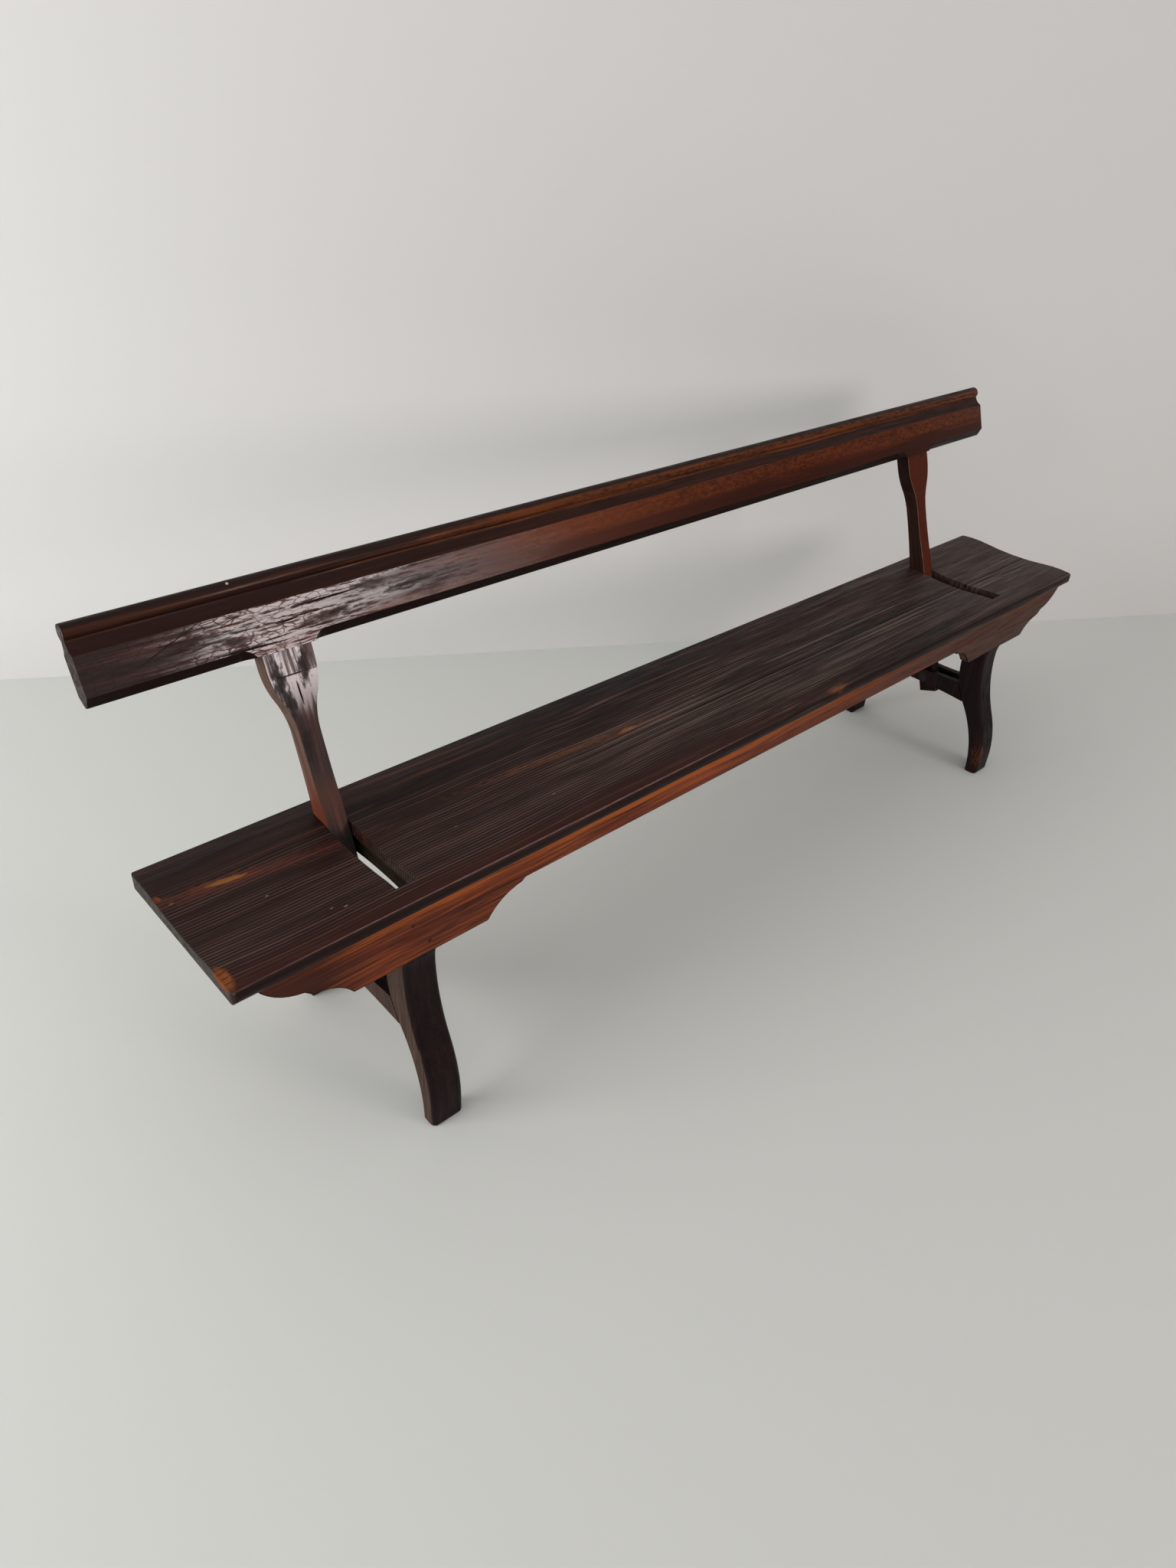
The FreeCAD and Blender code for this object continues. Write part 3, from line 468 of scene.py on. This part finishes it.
# Real ridges stand closer, and are drawn this far apart so that they show
RIDGE_PITCH = 6.5 * MM
sat_on = band(seat_wood, "Y", seat_front + 24 * MM, 60 * MM, 20 * MM)
ridges(seat_wood, RIDGE_PITCH, sat_on, "#61504a")
lip = short_of(seat_wood, "Y", seat_front + 30 * MM, 7 * MM)
tint(seat_wood, where_both(seat_wood, lip, near_part), "#3a1a13", 0.4)
# Painted sheen: the far right part of the seat is tinted a lighter grey, standing in for the wall's
# reflection at a low angle.
tint(seat_wood, past(seat_wood, "X", 0.6 * seat_end, 200 * MM), "#43342f", 0.4)
NOSE_DEPTH = 3.2 * MM
tint(seat_wood, short_of(seat_wood, "Y", seat_front + NOSE_DEPTH, 0.4 * MM), "#1b0f0d", 0.8)
END_DEPTH = 1.5 * MM
tint(seat_wood, short_of(seat_wood, "X", -seat_end + END_DEPTH, 0.4 * MM), "#2a2723", 0.8)

# Stains and pale specks on the top, each from end to end along the board
mark(seat_wood, (-1146, 46), (-863, 16), 22, "#4d2318", amount=0.6, soft=0.7)
mark(seat_wood, (-1095, 48), (-1000, 36), 13, "#63301b", amount=0.5, soft=0.7)
mark(seat_wood, (-563, 7), (-240, -16), 14, "#5e3620", amount=0.7, soft=0.7)
mark(seat_wood, (-290, -14), (-254, -16), 11, "#8a5730", amount=0.8, soft=0.5)
mark(seat_wood, (140, -168), (194, -168), 12, "#7a4526", amount=0.7, soft=0.5)
pale_specks = ((-957, -111), (-939, -120), (-1012, -24), (-520, -91), (-82, -5), (-700, -60), (310, -40))
for x, y in pale_specks:
    mark(seat_wood, (x - 3, y), (x + 3, y), 2, "#8d7c72", amount=0.7)

# Hollows broken out of the top, in mm. The gouge comes first, and each stains a little past its rim.
rear_chips = [
    SimpleNamespace(start=(-1072, 45), end=(-1009, 37), width=9, depth=1.4, soft=0.14, colour="#7c5029"),
    SimpleNamespace(start=(-1141, 67), end=(-1135, 55), width=8, depth=1.2, soft=0.3, colour="#65331a"),
    SimpleNamespace(start=(-1129, 41), end=(-1122, 41), width=4, depth=0.8, soft=0.3, colour="#6d4327"),
]
front_chips = [
    SimpleNamespace(start=(-1139, -121), end=(-1139, -166), width=18, depth=2.0, soft=0.3, colour="#713d1d"),
]
cracks = [
    SimpleNamespace(start=(882, -49), end=(1002, -58), width=1.8, depth=1.5),
    SimpleNamespace(start=(985, -60), end=(1120, -72), width=1.6, depth=1.5),
    SimpleNamespace(start=(980, -71), end=(986, -71), width=4, depth=3.0),
]
CHIP_SPREAD = 1.1
CRACK_SPREAD = 1.6
for chip in rear_chips + front_chips:
    mark(seat_wood, chip.start, chip.end, chip.width * CHIP_SPREAD, chip.colour, soft=chip.soft, dulling=0.8)
for y in (-132, -143, -154):
    mark(seat_wood, (-1144, y), (-1130, y), 2.5, "#341a0e", amount=0.8)
for crack in cracks:
    mark(seat_wood, crack.start, crack.end, crack.width * CRACK_SPREAD, "#080404", soft=0.15)

# The open joint is a hair line, drawn a few times wider so that it shows at this distance, and dry
# pores run beside it
JOINT_HALF = 2 * MM
PORE_HALF = 1.5 * MM
far_half = past(seat_wood, "X", -300 * MM, 150 * MM)
lifted = band(seat_wood, "Y", SEAM - 3 * JOINT_HALF, SEAM - JOINT_HALF, 0.8 * MM)
lifted = where_both(seat_wood, where_both(seat_wood, lifted, far_half), seat_wood.patches)
tint(seat_wood, lifted, "#66554c", 0.8)
open_joint = band(seat_wood, "Y", SEAM - JOINT_HALF, SEAM + JOINT_HALF, 0.5 * MM)
tint(seat_wood, where_both(seat_wood, open_joint, far_half), "#050303")
dried = where_both(seat_wood, worn_where(seat_wood, seat_wood.patches, 0.4, 0.56), far_half)
early_wood = worn_where(seat_wood, seat_wood.streaks, 0.54, 0.66)
tint(seat_wood, where_both(seat_wood, dried, early_wood), "#57473f", 0.5)
for beside in (-31 * MM, -18 * MM, 12 * MM, 23 * MM, 37 * MM):
    pore = band(seat_wood, "Y", SEAM + beside - PORE_HALF, SEAM + beside + PORE_HALF, 0.8 * MM)
    tint(seat_wood, where_both(seat_wood, pore, dried), "#6b5a51", 0.7)
tint(seat_wood, short_of(seat_wood, "Z", seat_low.z + 1 * MM, 0.1 * MM), "#5c4530", 0.85)
# A pale pink line along the front arris on the left: partly rubbed wear, partly painted highlight on the
# rounded arris.
NOSE_ROUND = 1.6 * MM
arris_front = seat_front + NOSE_DEPTH - 0.4 * MM
front_arris = band(seat_wood, "Y", arris_front, seat_front + NOSE_DEPTH + NOSE_ROUND, 0.5 * MM)
handled = band(seat_wood, "X", -1075 * MM, -150 * MM, 120 * MM)
front_arris = where_both(seat_wood, where_both(seat_wood, front_arris, handled), seat_wood.flecks)
tint(seat_wood, front_arris, "#8a655d", 1.2)
varnish(seat_wood, smooth=0.4, dull=0.6, relief=0.45 * MM)

# The same wood on the nose's arris, a thin pinkish line on the left that is partly rubbed by clothes and
# partly painted highlight on the rounded arris.
seat_arris = stained_wood("rubbed_pitch_pine_seat_arris", "#2a1613", "#6b463f", "#9a736a", specular=0.25)
tint(seat_arris, past(seat_arris, "X", -150 * MM, 250 * MM), "#2e1b15", 0.85)
tint(seat_arris, short_of(seat_arris, "X", -1040 * MM, 40 * MM), "#2a1613", 0.85)
varnish(seat_arris, smooth=0.4, dull=0.6, relief=0.1 * MM)


def at_seam(middle, length):
    """Tell a long edge at the joint between the boards."""
    return abs(middle.y - SEAM) < 8 * MM and length > 40 * MM


def at_nose(middle, length):
    """Tell an edge along the upper part of the front."""
    return middle.y < seat_front + 6 * MM and middle.z > seat_low.z + 15 * MM


def elsewhere(middle, length):
    """Tell the other edges, with the short ones only at the ends."""
    apart = not at_seam(middle, length) and not at_nose(middle, length)
    return apart and (length > SHORT_EDGE or abs(middle.x) > seat_end - 1 * MM)


def subtract(piece, cutter):
    """Cut one solid out of another and clear it away."""
    bpy.context.view_layer.objects.active = piece
    modifier = piece.modifiers.new("cut", "BOOLEAN")
    modifier.operation = "DIFFERENCE"
    modifier.object = cutter
    bpy.ops.object.modifier_apply(modifier=modifier.name)
    bpy.data.objects.remove(cutter)
    clear_slivers(piece)


def round_corners(board, radius, side):
    """Round the two corners of a board's long free edge, as seen from above."""
    low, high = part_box(board.name.removesuffix("_wood"))
    edge = low.y if side < 0 else high.y
    for x in (low.x, high.x):
        corner = Vector((x, edge, (low.z + high.z) / 2))
        inward = Vector((-math.copysign(radius, x), -side * radius, 0))
        bpy.ops.object.select_all(action="DESELECT")
        bpy.ops.mesh.primitive_cube_add(size=1, location=corner)
        waste = bpy.context.object
        waste.scale = (2 * radius, 2 * radius, 0.2)
        bpy.ops.mesh.primitive_cylinder_add(vertices=48, radius=radius, depth=0.3, location=corner + inward)
        kept = bpy.context.object
        subtract(waste, kept)
        subtract(board, waste)


def scoop(piece, wood, hollow, outward):
    """Cut a boat-shaped hollow, whose sizes are in mm, into the face of a piece."""
    back = wood.turn.inverted()
    first = back @ wood.on_face(*hollow.start) + wood.origin
    last = back @ wood.on_face(*hollow.end) + wood.origin
    out = back @ Vector(outward)
    _, at, normal, _ = piece.ray_cast((first + last) / 2 + 0.1 * out, -out)
    along = (last - first) - (last - first).dot(normal) * normal
    across = normal.cross(along).normalized()
    turn = Matrix((along.normalized(), across, normal)).transposed().to_4x4()
    size = Matrix.Diagonal((along.length / 2, hollow.width * MM / 2, hollow.depth * MM, 1))
    bpy.ops.object.select_all(action="DESELECT")
    # An odd number of rings puts none of them in the face itself, so the rim is cut clean
    bpy.ops.mesh.primitive_uv_sphere_add(segments=20, ring_count=9, radius=1)
    cutter = bpy.context.object
    cutter.matrix_world = Matrix.Translation(at) @ turn @ size
    subtract(piece, cutter)


CORNER_RADIUS = 12 * MM
UPWARD = (0, 0, 1)
for end, side, hollows in (("front", -1, front_chips + cracks), ("rear", 1, rear_chips)):
    board = worn_copy(f"seat_{end}_board", "seat_wood", "stand", seat_wood, seat_arris)
    round_corners(board, CORNER_RADIUS, side)
    wear_edges(board, 3.0 * MM, elsewhere)
    wear_edges(board, 1.2 * MM, at_seam)
    wear_edges(board, NOSE_ROUND, at_nose, ARRIS)
    for hollow in hollows:
        scoop(board, seat_wood, hollow, UPWARD)
    smooth_faces(board)


# Swing arms: flat bars with a wide head below the rail. They pass through the seat and turn
# in the cross rails. Red-brown varnish, rubbed and smudged where hands push the back over.

back_joint = frame["joints"][0]
pivot = Vector(back_joint["pos_m"])
LEAN = math.radians(back_joint["range_deg"][1] / 2)
ARM_GRAIN = (LEAN, math.radians(90), 0)
ARM_FRONT = -17 * MM

# Heights up the arm from its pivot
SEAT_LEVEL = 255 * MM
NECK = 455 * MM
RAIL_EDGE = 514 * MM

# Varnished pitch pine: glossy red brown that mirrors the window on the left arm's head, broken by
# black smudges and streaks of gone varnish, and dull where the seat hides it.
arm_wood = stained_wood("varnished_pitch_pine_arms", "#27120e", "#43201a", "#5c2c1e", origin=pivot,
                        turn=ARM_GRAIN, streak_width=7 * MM, line_width=1.8 * MM, specular=0.6)
arm_wood.on_face = lambda x, s: Vector((s * MM, ARM_FRONT, -x * MM))
arm_wood.depth_axis = 1
arm_smudges = [
    SimpleNamespace(start=(-869, 480), end=(-869, 530), width=14, amount=0.8),
    SimpleNamespace(start=(-861, 458), end=(-861, 484), width=12, amount=0.8),
    SimpleNamespace(start=(-829, 500), end=(-822, 540), width=12, amount=0.8),
    SimpleNamespace(start=(-852, 380), end=(-852, 430), width=16, amount=0.6),
]
for smudge in arm_smudges:
    mark(arm_wood, smudge.start, smudge.end, smudge.width, "#150a09", amount=smudge.amount, soft=0.8,
         dulling=0.9)
arm_crack = SimpleNamespace(start=(-843, 500), end=(-842, 466), width=1.6, depth=1.5)
mark(arm_wood, arm_crack.start, arm_crack.end, 3, "#0c0605", dulling=1.0)
mark(arm_wood, (-876, 513), (-812, 513), 2, "#1a0c0a", amount=0.6, dulling=0.9)
tint(arm_wood, band(arm_wood, "X", 270 * MM, 335 * MM, 25 * MM), "#6a331a", 0.4)
right_arm = short_of(arm_wood, "Z", 0, 10 * MM)
tint(arm_wood, right_arm, "#552310", 0.75)
# Painted shade: below the seat's level the arm is tinted nearly black, where the seat shades it; it is
# dulled there too.
below_seat = short_of(arm_wood, "X", SEAT_LEVEL, 10 * MM)
tint(arm_wood, below_seat, "#170d0b", 0.85)
rub(arm_wood, short_of(arm_wood, "X", NECK, 15 * MM), 0.75)
early_wood = worn_where(arm_wood, arm_wood.streaks, 0.4, 0.6)
rub(arm_wood, where_both(arm_wood, past(arm_wood, "X", RAIL_EDGE, 3 * MM), early_wood), 0.5)
rub(arm_wood, right_arm, 1.0, 0.22)
rub(arm_wood, below_seat, 1.0, 0.85)
varnish(arm_wood, smooth=0.13, dull=0.9, relief=0.05 * MM, sound=0.62, gone=0.68, length=70 * MM,
        width=6 * MM)

# The same wood on the outer sides, a lighter dull pinkish brown that is partly dust and partly painted light
# from the left, and redder by the seat.
arm_side = stained_wood("dust_and_painted_light_arm_sides", "#4d372f", "#644a40", "#725649", origin=pivot,
                        turn=ARM_GRAIN, streak_width=7 * MM, specular=0.12)
tint(arm_side, band(arm_side, "X", 200 * MM, 340 * MM, 30 * MM), "#5c2814", 0.8)
varnish(arm_side, smooth=0.5, dull=0.75, relief=0.1 * MM)

# The same wood on the inner sides: dull and nearly black, a painted shade for faces that look away from the
# light.
arm_inside = stained_wood("painted_shade_pitch_pine_arm_insides", "#140908", "#241009", "#35190e", origin=pivot,
                          turn=ARM_GRAIN, streak_width=7 * MM, specular=0.08)
varnish(arm_inside, smooth=0.55, dull=0.8, relief=0.1 * MM)

# The same wood on the arrises, rubbed to a lighter brown, with a near-white painted highlight along the
# right arm's front arris.
arm_arris = stained_wood("rubbed_and_painted_highlight_arm_arrises", "#43221a", "#7c4a36", "#a8715a", origin=pivot,
                         turn=ARM_GRAIN, specular=0.3)
# Painted highlight: the right arm's front arris is tinted near white.
right_arris = short_of(arm_arris, "Z", 0, 10 * MM)
front_arris = short_of(arm_arris, "Y", 0, 2 * MM)
tint(arm_arris, where_both(arm_arris, right_arris, front_arris), "#ffd2b0", 0.9)
varnish(arm_arris, smooth=0.35, dull=0.55, relief=0.1 * MM)
ARM_SIDE = 2
ARM_INSIDE = 3
FORWARD = (0, -1, 0)


def inner(normal, middle):
    """Tell a face that looks towards the middle of the bench."""
    return normal.x * math.copysign(1, middle.x) < -0.6


def arm_edge(middle, length):
    """Tell an edge that isn't one short step of the arm's curves."""
    return length > 4 * MM


for side in ("left", "right"):
    arm = worn_copy(f"{side}_swing_arm", "back_wood", "back", arm_wood, arm_arris, arm_side, arm_inside)
    refinish(arm, ARM_SIDE, outer)
    refinish(arm, ARM_INSIDE, inner)
    wear_edges(arm, 3.0 * MM, arm_edge, ARRIS)
    if side == "left":
        scoop(arm, arm_wood, arm_crack, FORWARD)
    smooth_faces(arm)


# Back rail: one long board with a bead, a quirk and a hollow along the top and stopped
# chamfers below. Shellac over red stain: crazed, scratched and split on the left, orange where
# the stain has gone, and black with handling on top of the bead.

RAIL_FRONT = -18 * MM
RAIL_GRAIN = (LEAN, 0, 0)
rail_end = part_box("back_rail")[1].x

# Heights of the rail's profile from the pivot
CHAMFER_TOP = 566.5 * MM
FLAT_MIDDLE = 592 * MM
FLAT_TOP = 624 * MM
COVE_TOP = 643 * MM
BEAD_TOP = 663 * MM

# Places along the rail from its middle, where the varnish changes
DULL_END = -1010 * MM
HAZE_START = -690 * MM
SOUND_START = -400 * MM
DARK_START = 620 * MM

# Shellacked pitch pine: glossy, with a broken mirror of the window on the left where the shellac is
# crazed, an even red-brown shine on the right, and little black smudges and splits.
rail_wood = stained_wood("shellacked_pitch_pine_rail", "#260f0a", "#4a1f13", "#6b331b", origin=pivot,
                         turn=RAIL_GRAIN, streak_width=8 * MM, line_width=2.0 * MM, specular=0.45)
rail_wood.on_face = lambda x, s: Vector((x * MM, RAIL_FRONT, s * MM))
rail_wood.depth_axis = 1
tint(rail_wood, short_of(rail_wood, "X", -0.86 * rail_end, 120 * MM), "#1f0d0a", 0.9)
tint(rail_wood, band(rail_wood, "X", -430 * MM, -60 * MM, 120 * MM), "#7d3d1c", 0.6)
rail_smudges = [
    SimpleNamespace(start=(-700, 611), end=(-658, 611), width=12),
    SimpleNamespace(start=(-590, 579), end=(-552, 579), width=13),
    SimpleNamespace(start=(-940, 584), end=(-902, 584), width=10),
    SimpleNamespace(start=(-800, 582), end=(-740, 584), width=9),
    SimpleNamespace(start=(-640, 594), end=(-560, 600), width=7),
    SimpleNamespace(start=(-1010, 600), end=(-950, 604), width=8),
]
for smudge in rail_smudges:
    mark(rail_wood, smudge.start, smudge.end, smudge.width, "#1d0d0b", amount=0.45, soft=0.9, dulling=0.6)
rail_splits = [
    SimpleNamespace(start=(-815, 609), end=(-713, 610), width=1.8, depth=1.5),
    SimpleNamespace(start=(-849, 592), end=(-818, 593), width=1.5, depth=1.2),
    SimpleNamespace(start=(-945, 569), end=(-857, 566), width=1.8, depth=1.5),
    SimpleNamespace(start=(-966, 622), end=(-1058, 587), width=0.9, depth=0.4),
    SimpleNamespace(start=(-994, 604), end=(-1025, 606), width=0.9, depth=0.4),
]
SPLIT_SPREAD = 1.7
for split in rail_splits:
    mark(rail_wood, split.start, split.end, split.width * SPLIT_SPREAD, "#0d0605", dulling=1.0)
mark(rail_wood, (-876, 596), (-870, 596), 4, "#b9a79c")

# The shellac's crazing: flakes that are longer with the grain, parted by fine cracks
FLAKE_SIZE = Vector((20 * MM, 7 * MM, 7 * MM))
flakes = add_node(rail_wood.tree, "ShaderNodeVectorMath", {0: rail_wood.grain, 1: FLAKE_SIZE},
                  operation="DIVIDE").outputs[0]
crazing = add_node(rail_wood.tree, "ShaderNodeTexVoronoi", {"Vector": flakes, "Scale": 1},
                   feature="DISTANCE_TO_EDGE").outputs[0]
brittle = worn_where(rail_wood, rail_wood.patches, 0.42, 0.58)
craze_line = where_both(rail_wood, worn_where(rail_wood, crazing, 0.08, 0.0), brittle)
tint(rail_wood, craze_line, "#160a08", 0.35)
rub(rail_wood, craze_line, 0.6)
curl = add_node(rail_wood.tree, "ShaderNodeMapRange", {0: crazing, 1: 0.0, 2: 0.12, 4: 0.2}).outputs[0]
rail_wood.height = add_node(rail_wood.tree, "ShaderNodeMath", {0: rail_wood.lines, 1: curl}).outputs[0]

# How the shine and the stain change along the rail and up its face
rub(rail_wood, past(rail_wood, "X", HAZE_START, 120 * MM), 0.6, 0.42)
sound_part = past(rail_wood, "X", SOUND_START, 120 * MM)
rub(rail_wood, sound_part, 0.9, 0.22)
rub(rail_wood, short_of(rail_wood, "X", DULL_END, 60 * MM), 0.75)
tint(rail_wood, past(rail_wood, "X", DARK_START, 150 * MM), "#2a140d", 0.45)
tint(rail_wood, sound_part, "#5a2916", 0.4)
lower_flat = short_of(rail_wood, "Z", FLAT_MIDDLE - 2 * MM, 6 * MM)
tint(rail_wood, where_both(rail_wood, lower_flat, sound_part), "#2b1411", 0.55)
upper_flat = past(rail_wood, "Z", FLAT_MIDDLE + 2 * MM, 6 * MM)
flaked = where_both(rail_wood, upper_flat, worn_where(rail_wood, rail_wood.flecks, 0.42, 0.6))
tint(rail_wood, where_both(rail_wood, flaked, sound_part), "#7d401b", 0.4)
varnish(rail_wood, smooth=0.14, dull=0.9, relief=0.035 * MM, sound=0.5, gone=0.66, length=45 * MM,
        width=4 * MM)

# The same wood on the mouldings, which were never rubbed down: the hollow and the chamfers are darker and
# dull, dirt and old polish lie dull on top of the bead, and the bead's front shows orange streaks.
moulding = stained_wood("dull_pitch_pine_mouldings", "#1a0d0a", "#32170f", "#5f2f18", origin=pivot,
                        turn=RAIL_GRAIN, streak_width=7 * MM, line_width=2.0 * MM, specular=0.12)
moulding.on_face = rail_wood.on_face
moulding.depth_axis = rail_wood.depth_axis
bead = band(moulding, "Z", COVE_TOP, BEAD_TOP, 3 * MM)
orange = where_both(moulding, bead, worn_where(moulding, moulding.streaks, 0.46, 0.62))
tint(moulding, orange, "#6e3a1c", 0.7)
tint(moulding, short_of(moulding, "X", -0.5 * rail_end, 250 * MM), "#2a150f", 0.6)
far_bead = where_both(moulding, bead, past(moulding, "X", -500 * MM, 200 * MM))
flaked = worn_where(moulding, moulding.flecks, 0.36, 0.62)
tint(moulding, where_both(moulding, far_bead, flaked), "#6b3719", 0.75)
tint(moulding, band(moulding, "Z", FLAT_TOP, COVE_TOP, 1.5 * MM), "#27120d", 0.6)
tint(moulding, past(moulding, "Z", BEAD_TOP - 1 * MM, 2 * MM), "#1b110e", 0.85)
tint(moulding, short_of(moulding, "Z", CHAMFER_TOP, 1 * MM), "#190b09", 0.85)
tint(moulding, short_of(moulding, "X", -rail_end + END_DEPTH, 0.4 * MM), "#20130f", 0.8)
tint(moulding, past(moulding, "X", rail_end - END_DEPTH, 0.4 * MM), "#20130f", 0.8)
polished = where_both(moulding, bead, worn_where(moulding, moulding.streaks, 0.44, 0.6))
rub(moulding, polished, 0.9, 0.16)
mark(moulding, (-904, 665), (-900, 665), 3, "#c9bdb4")
varnish(moulding, smooth=0.4, dull=0.65, relief=0.15 * MM)

# The same wood on the arrises, rubbed by hands to a lighter, duller brown.
rail_arris = stained_wood("rubbed_pitch_pine_rail_arrises", "#2a130d", "#52281a", "#7d4a34", origin=pivot,
                          turn=RAIL_GRAIN, specular=0.3)
varnish(rail_arris, smooth=0.35, dull=0.55, relief=0.1 * MM)
MOULDING = 2


def moulded(normal, middle):
    """Tell a face that isn't one of the rail's two flats."""
    height = (rail_wood.turn @ (middle - pivot)).z
    return abs((rail_wood.turn @ normal).y) < 0.99 or height > FLAT_TOP


def rail_tip(middle, length):
    """Tell an edge of the rail's two ends."""
    return abs(middle.x) > rail_end - 1 * MM


def along_rail(middle, length):
    """Tell an edge between the rail's ends that isn't one short step of a curve."""
    return length > 5 * MM and abs(middle.x) < rail_end - 1 * MM


back_rail = worn_copy("back_rail", "back_wood", "back", rail_wood, rail_arris, moulding)
refinish(back_rail, MOULDING, moulded)
wear_edges(back_rail, 2.0 * MM, along_rail, ARRIS)
wear_edges(back_rail, 0.8 * MM, rail_tip)
for split in rail_splits:
    scoop(back_rail, rail_wood, split, FORWARD)
smooth_faces(back_rail)


# Floor, wall, light and camera: a plain pale floor and wall, one soft window in front and to
# the right, a large soft light from the left, and a sky that is brighter overhead.

ROOM_SIZE = 24
WALL_NORMAL = Vector((0.4947, 0.8691, 0))
WALL_DISTANCE = 1017.6 * MM


def plain_paint(name, colour):
    """Make a matt paint that is clear from behind, so that no view of the bench is blocked."""
    material = bpy.data.materials.new(name)
    material.use_nodes = True
    tree = material.node_tree
    shader = tree.nodes["Principled BSDF"]
    shader.inputs["Base Color"].default_value = srgb(colour)
    shader.inputs["Roughness"].default_value = 0.8
    shader.inputs["Specular IOR Level"].default_value = 0.2
    behind = add_node(tree, "ShaderNodeNewGeometry").outputs["Backfacing"]
    clear = add_node(tree, "ShaderNodeBsdfTransparent").outputs[0]
    one_sided = add_node(tree, "ShaderNodeMixShader", {0: behind, 1: shader.outputs[0], 2: clear}).outputs[0]
    tree.links.new(one_sided, tree.nodes["Material Output"].inputs[0])
    return material


bpy.ops.mesh.primitive_plane_add(size=ROOM_SIZE)
floor = bpy.context.object
floor.name = "floor"
floor.data.materials.append(plain_paint("pale_floor", "#c7c8c4"))

bpy.ops.mesh.primitive_plane_add(size=ROOM_SIZE)
wall = bpy.context.object
wall.name = "wall"
wall.rotation_mode = "QUATERNION"
wall.rotation_quaternion = (-WALL_NORMAL).to_track_quat("Z", "Y")
wall.location = WALL_DISTANCE * WALL_NORMAL
wall.visible_shadow = False
wall.data.materials.append(plain_paint("pale_wall", "#d8d7d5"))

# Two dark flags in front and on the right keep the pale room out of the varnish. They are
# out of every picture, as on a studio floor.
FLAG_SIZE = (12, 3.4, 1)
flag_cloth = plain_paint("black_flag_cloth", "#181818")
flags = (
    ("front_flag", (2.5, -6.5, 1.7), (0, 1, 0)),
    ("right_flag", (8.5, -1.5, 1.7), (-1, 0, 0)),
)
for name, place, facing in flags:
    bpy.ops.mesh.primitive_plane_add(size=1)
    flag = bpy.context.object
    flag.name = name
    flag.rotation_mode = "QUATERNION"
    flag.rotation_quaternion = Vector(facing).to_track_quat("Z", "Y")
    flag.location = place
    flag.scale = FLAG_SIZE
    flag.visible_camera = False
    flag.data.materials.append(flag_cloth)

world = bpy.data.worlds.new("soft_sky")
bpy.context.scene.world = world
world.use_nodes = True
sky = world.node_tree
ahead = add_node(sky, "ShaderNodeTexCoord").outputs["Generated"]
height = add_node(sky, "ShaderNodeSeparateXYZ", {0: ahead}).outputs["Z"]
glow = add_node(sky, "ShaderNodeMapRange", {0: height, 1: 0, 2: 1, 3: 0.5, 4: 1.0}).outputs[0]
sky.nodes["Background"].inputs["Color"].default_value = srgb("#f4f4f4")
sky.links.new(glow, sky.nodes["Background"].inputs["Strength"])


def add_softbox(name, place, target, width, height, power, colour):
    """Hang a rectangular lamp that faces a target."""
    data = bpy.data.lights.new(name, "AREA")
    data.color = srgb(colour)[:3]
    data.shape = "RECTANGLE"
    data.size = width
    data.size_y = height
    data.energy = power
    lamp = bpy.data.objects.new(name, data)
    lamp.location = place
    lamp.rotation_mode = "QUATERNION"
    lamp.rotation_quaternion = (Vector(target) - Vector(place)).to_track_quat("-Z", "Y")
    bpy.context.scene.collection.objects.link(lamp)


add_softbox("window", place=(1.36, -4.36, 1.74), target=(-0.75, 0.17, 0.77),
            width=1.45, height=0.95, power=58, colour="#fff2f0")
add_softbox("left_room", place=(-4.2, 0.9, 1.7), target=(0, 0, 0.5),
            width=2.6, height=2.2, power=115, colour="#ffffff")

camera_data = bpy.data.cameras.new("photo_camera")
camera_data.lens = 24.418
camera_data.sensor_width = 36
camera = bpy.data.objects.new("photo_camera", camera_data)
camera.location = (-1.50056, -1.16591, 1.48075)
camera.rotation_mode = "QUATERNION"
tilt_down = 0.60558
turn_right = 0.77799
roll = -0.06617
level = Euler((math.pi / 2 - tilt_down, 0, -turn_right)).to_quaternion()
camera.rotation_quaternion = level @ Quaternion((0, 0, 1), -roll)
bpy.context.scene.collection.objects.link(camera)
bpy.context.scene.camera = camera
bpy.context.scene.view_settings.view_transform = "Standard"
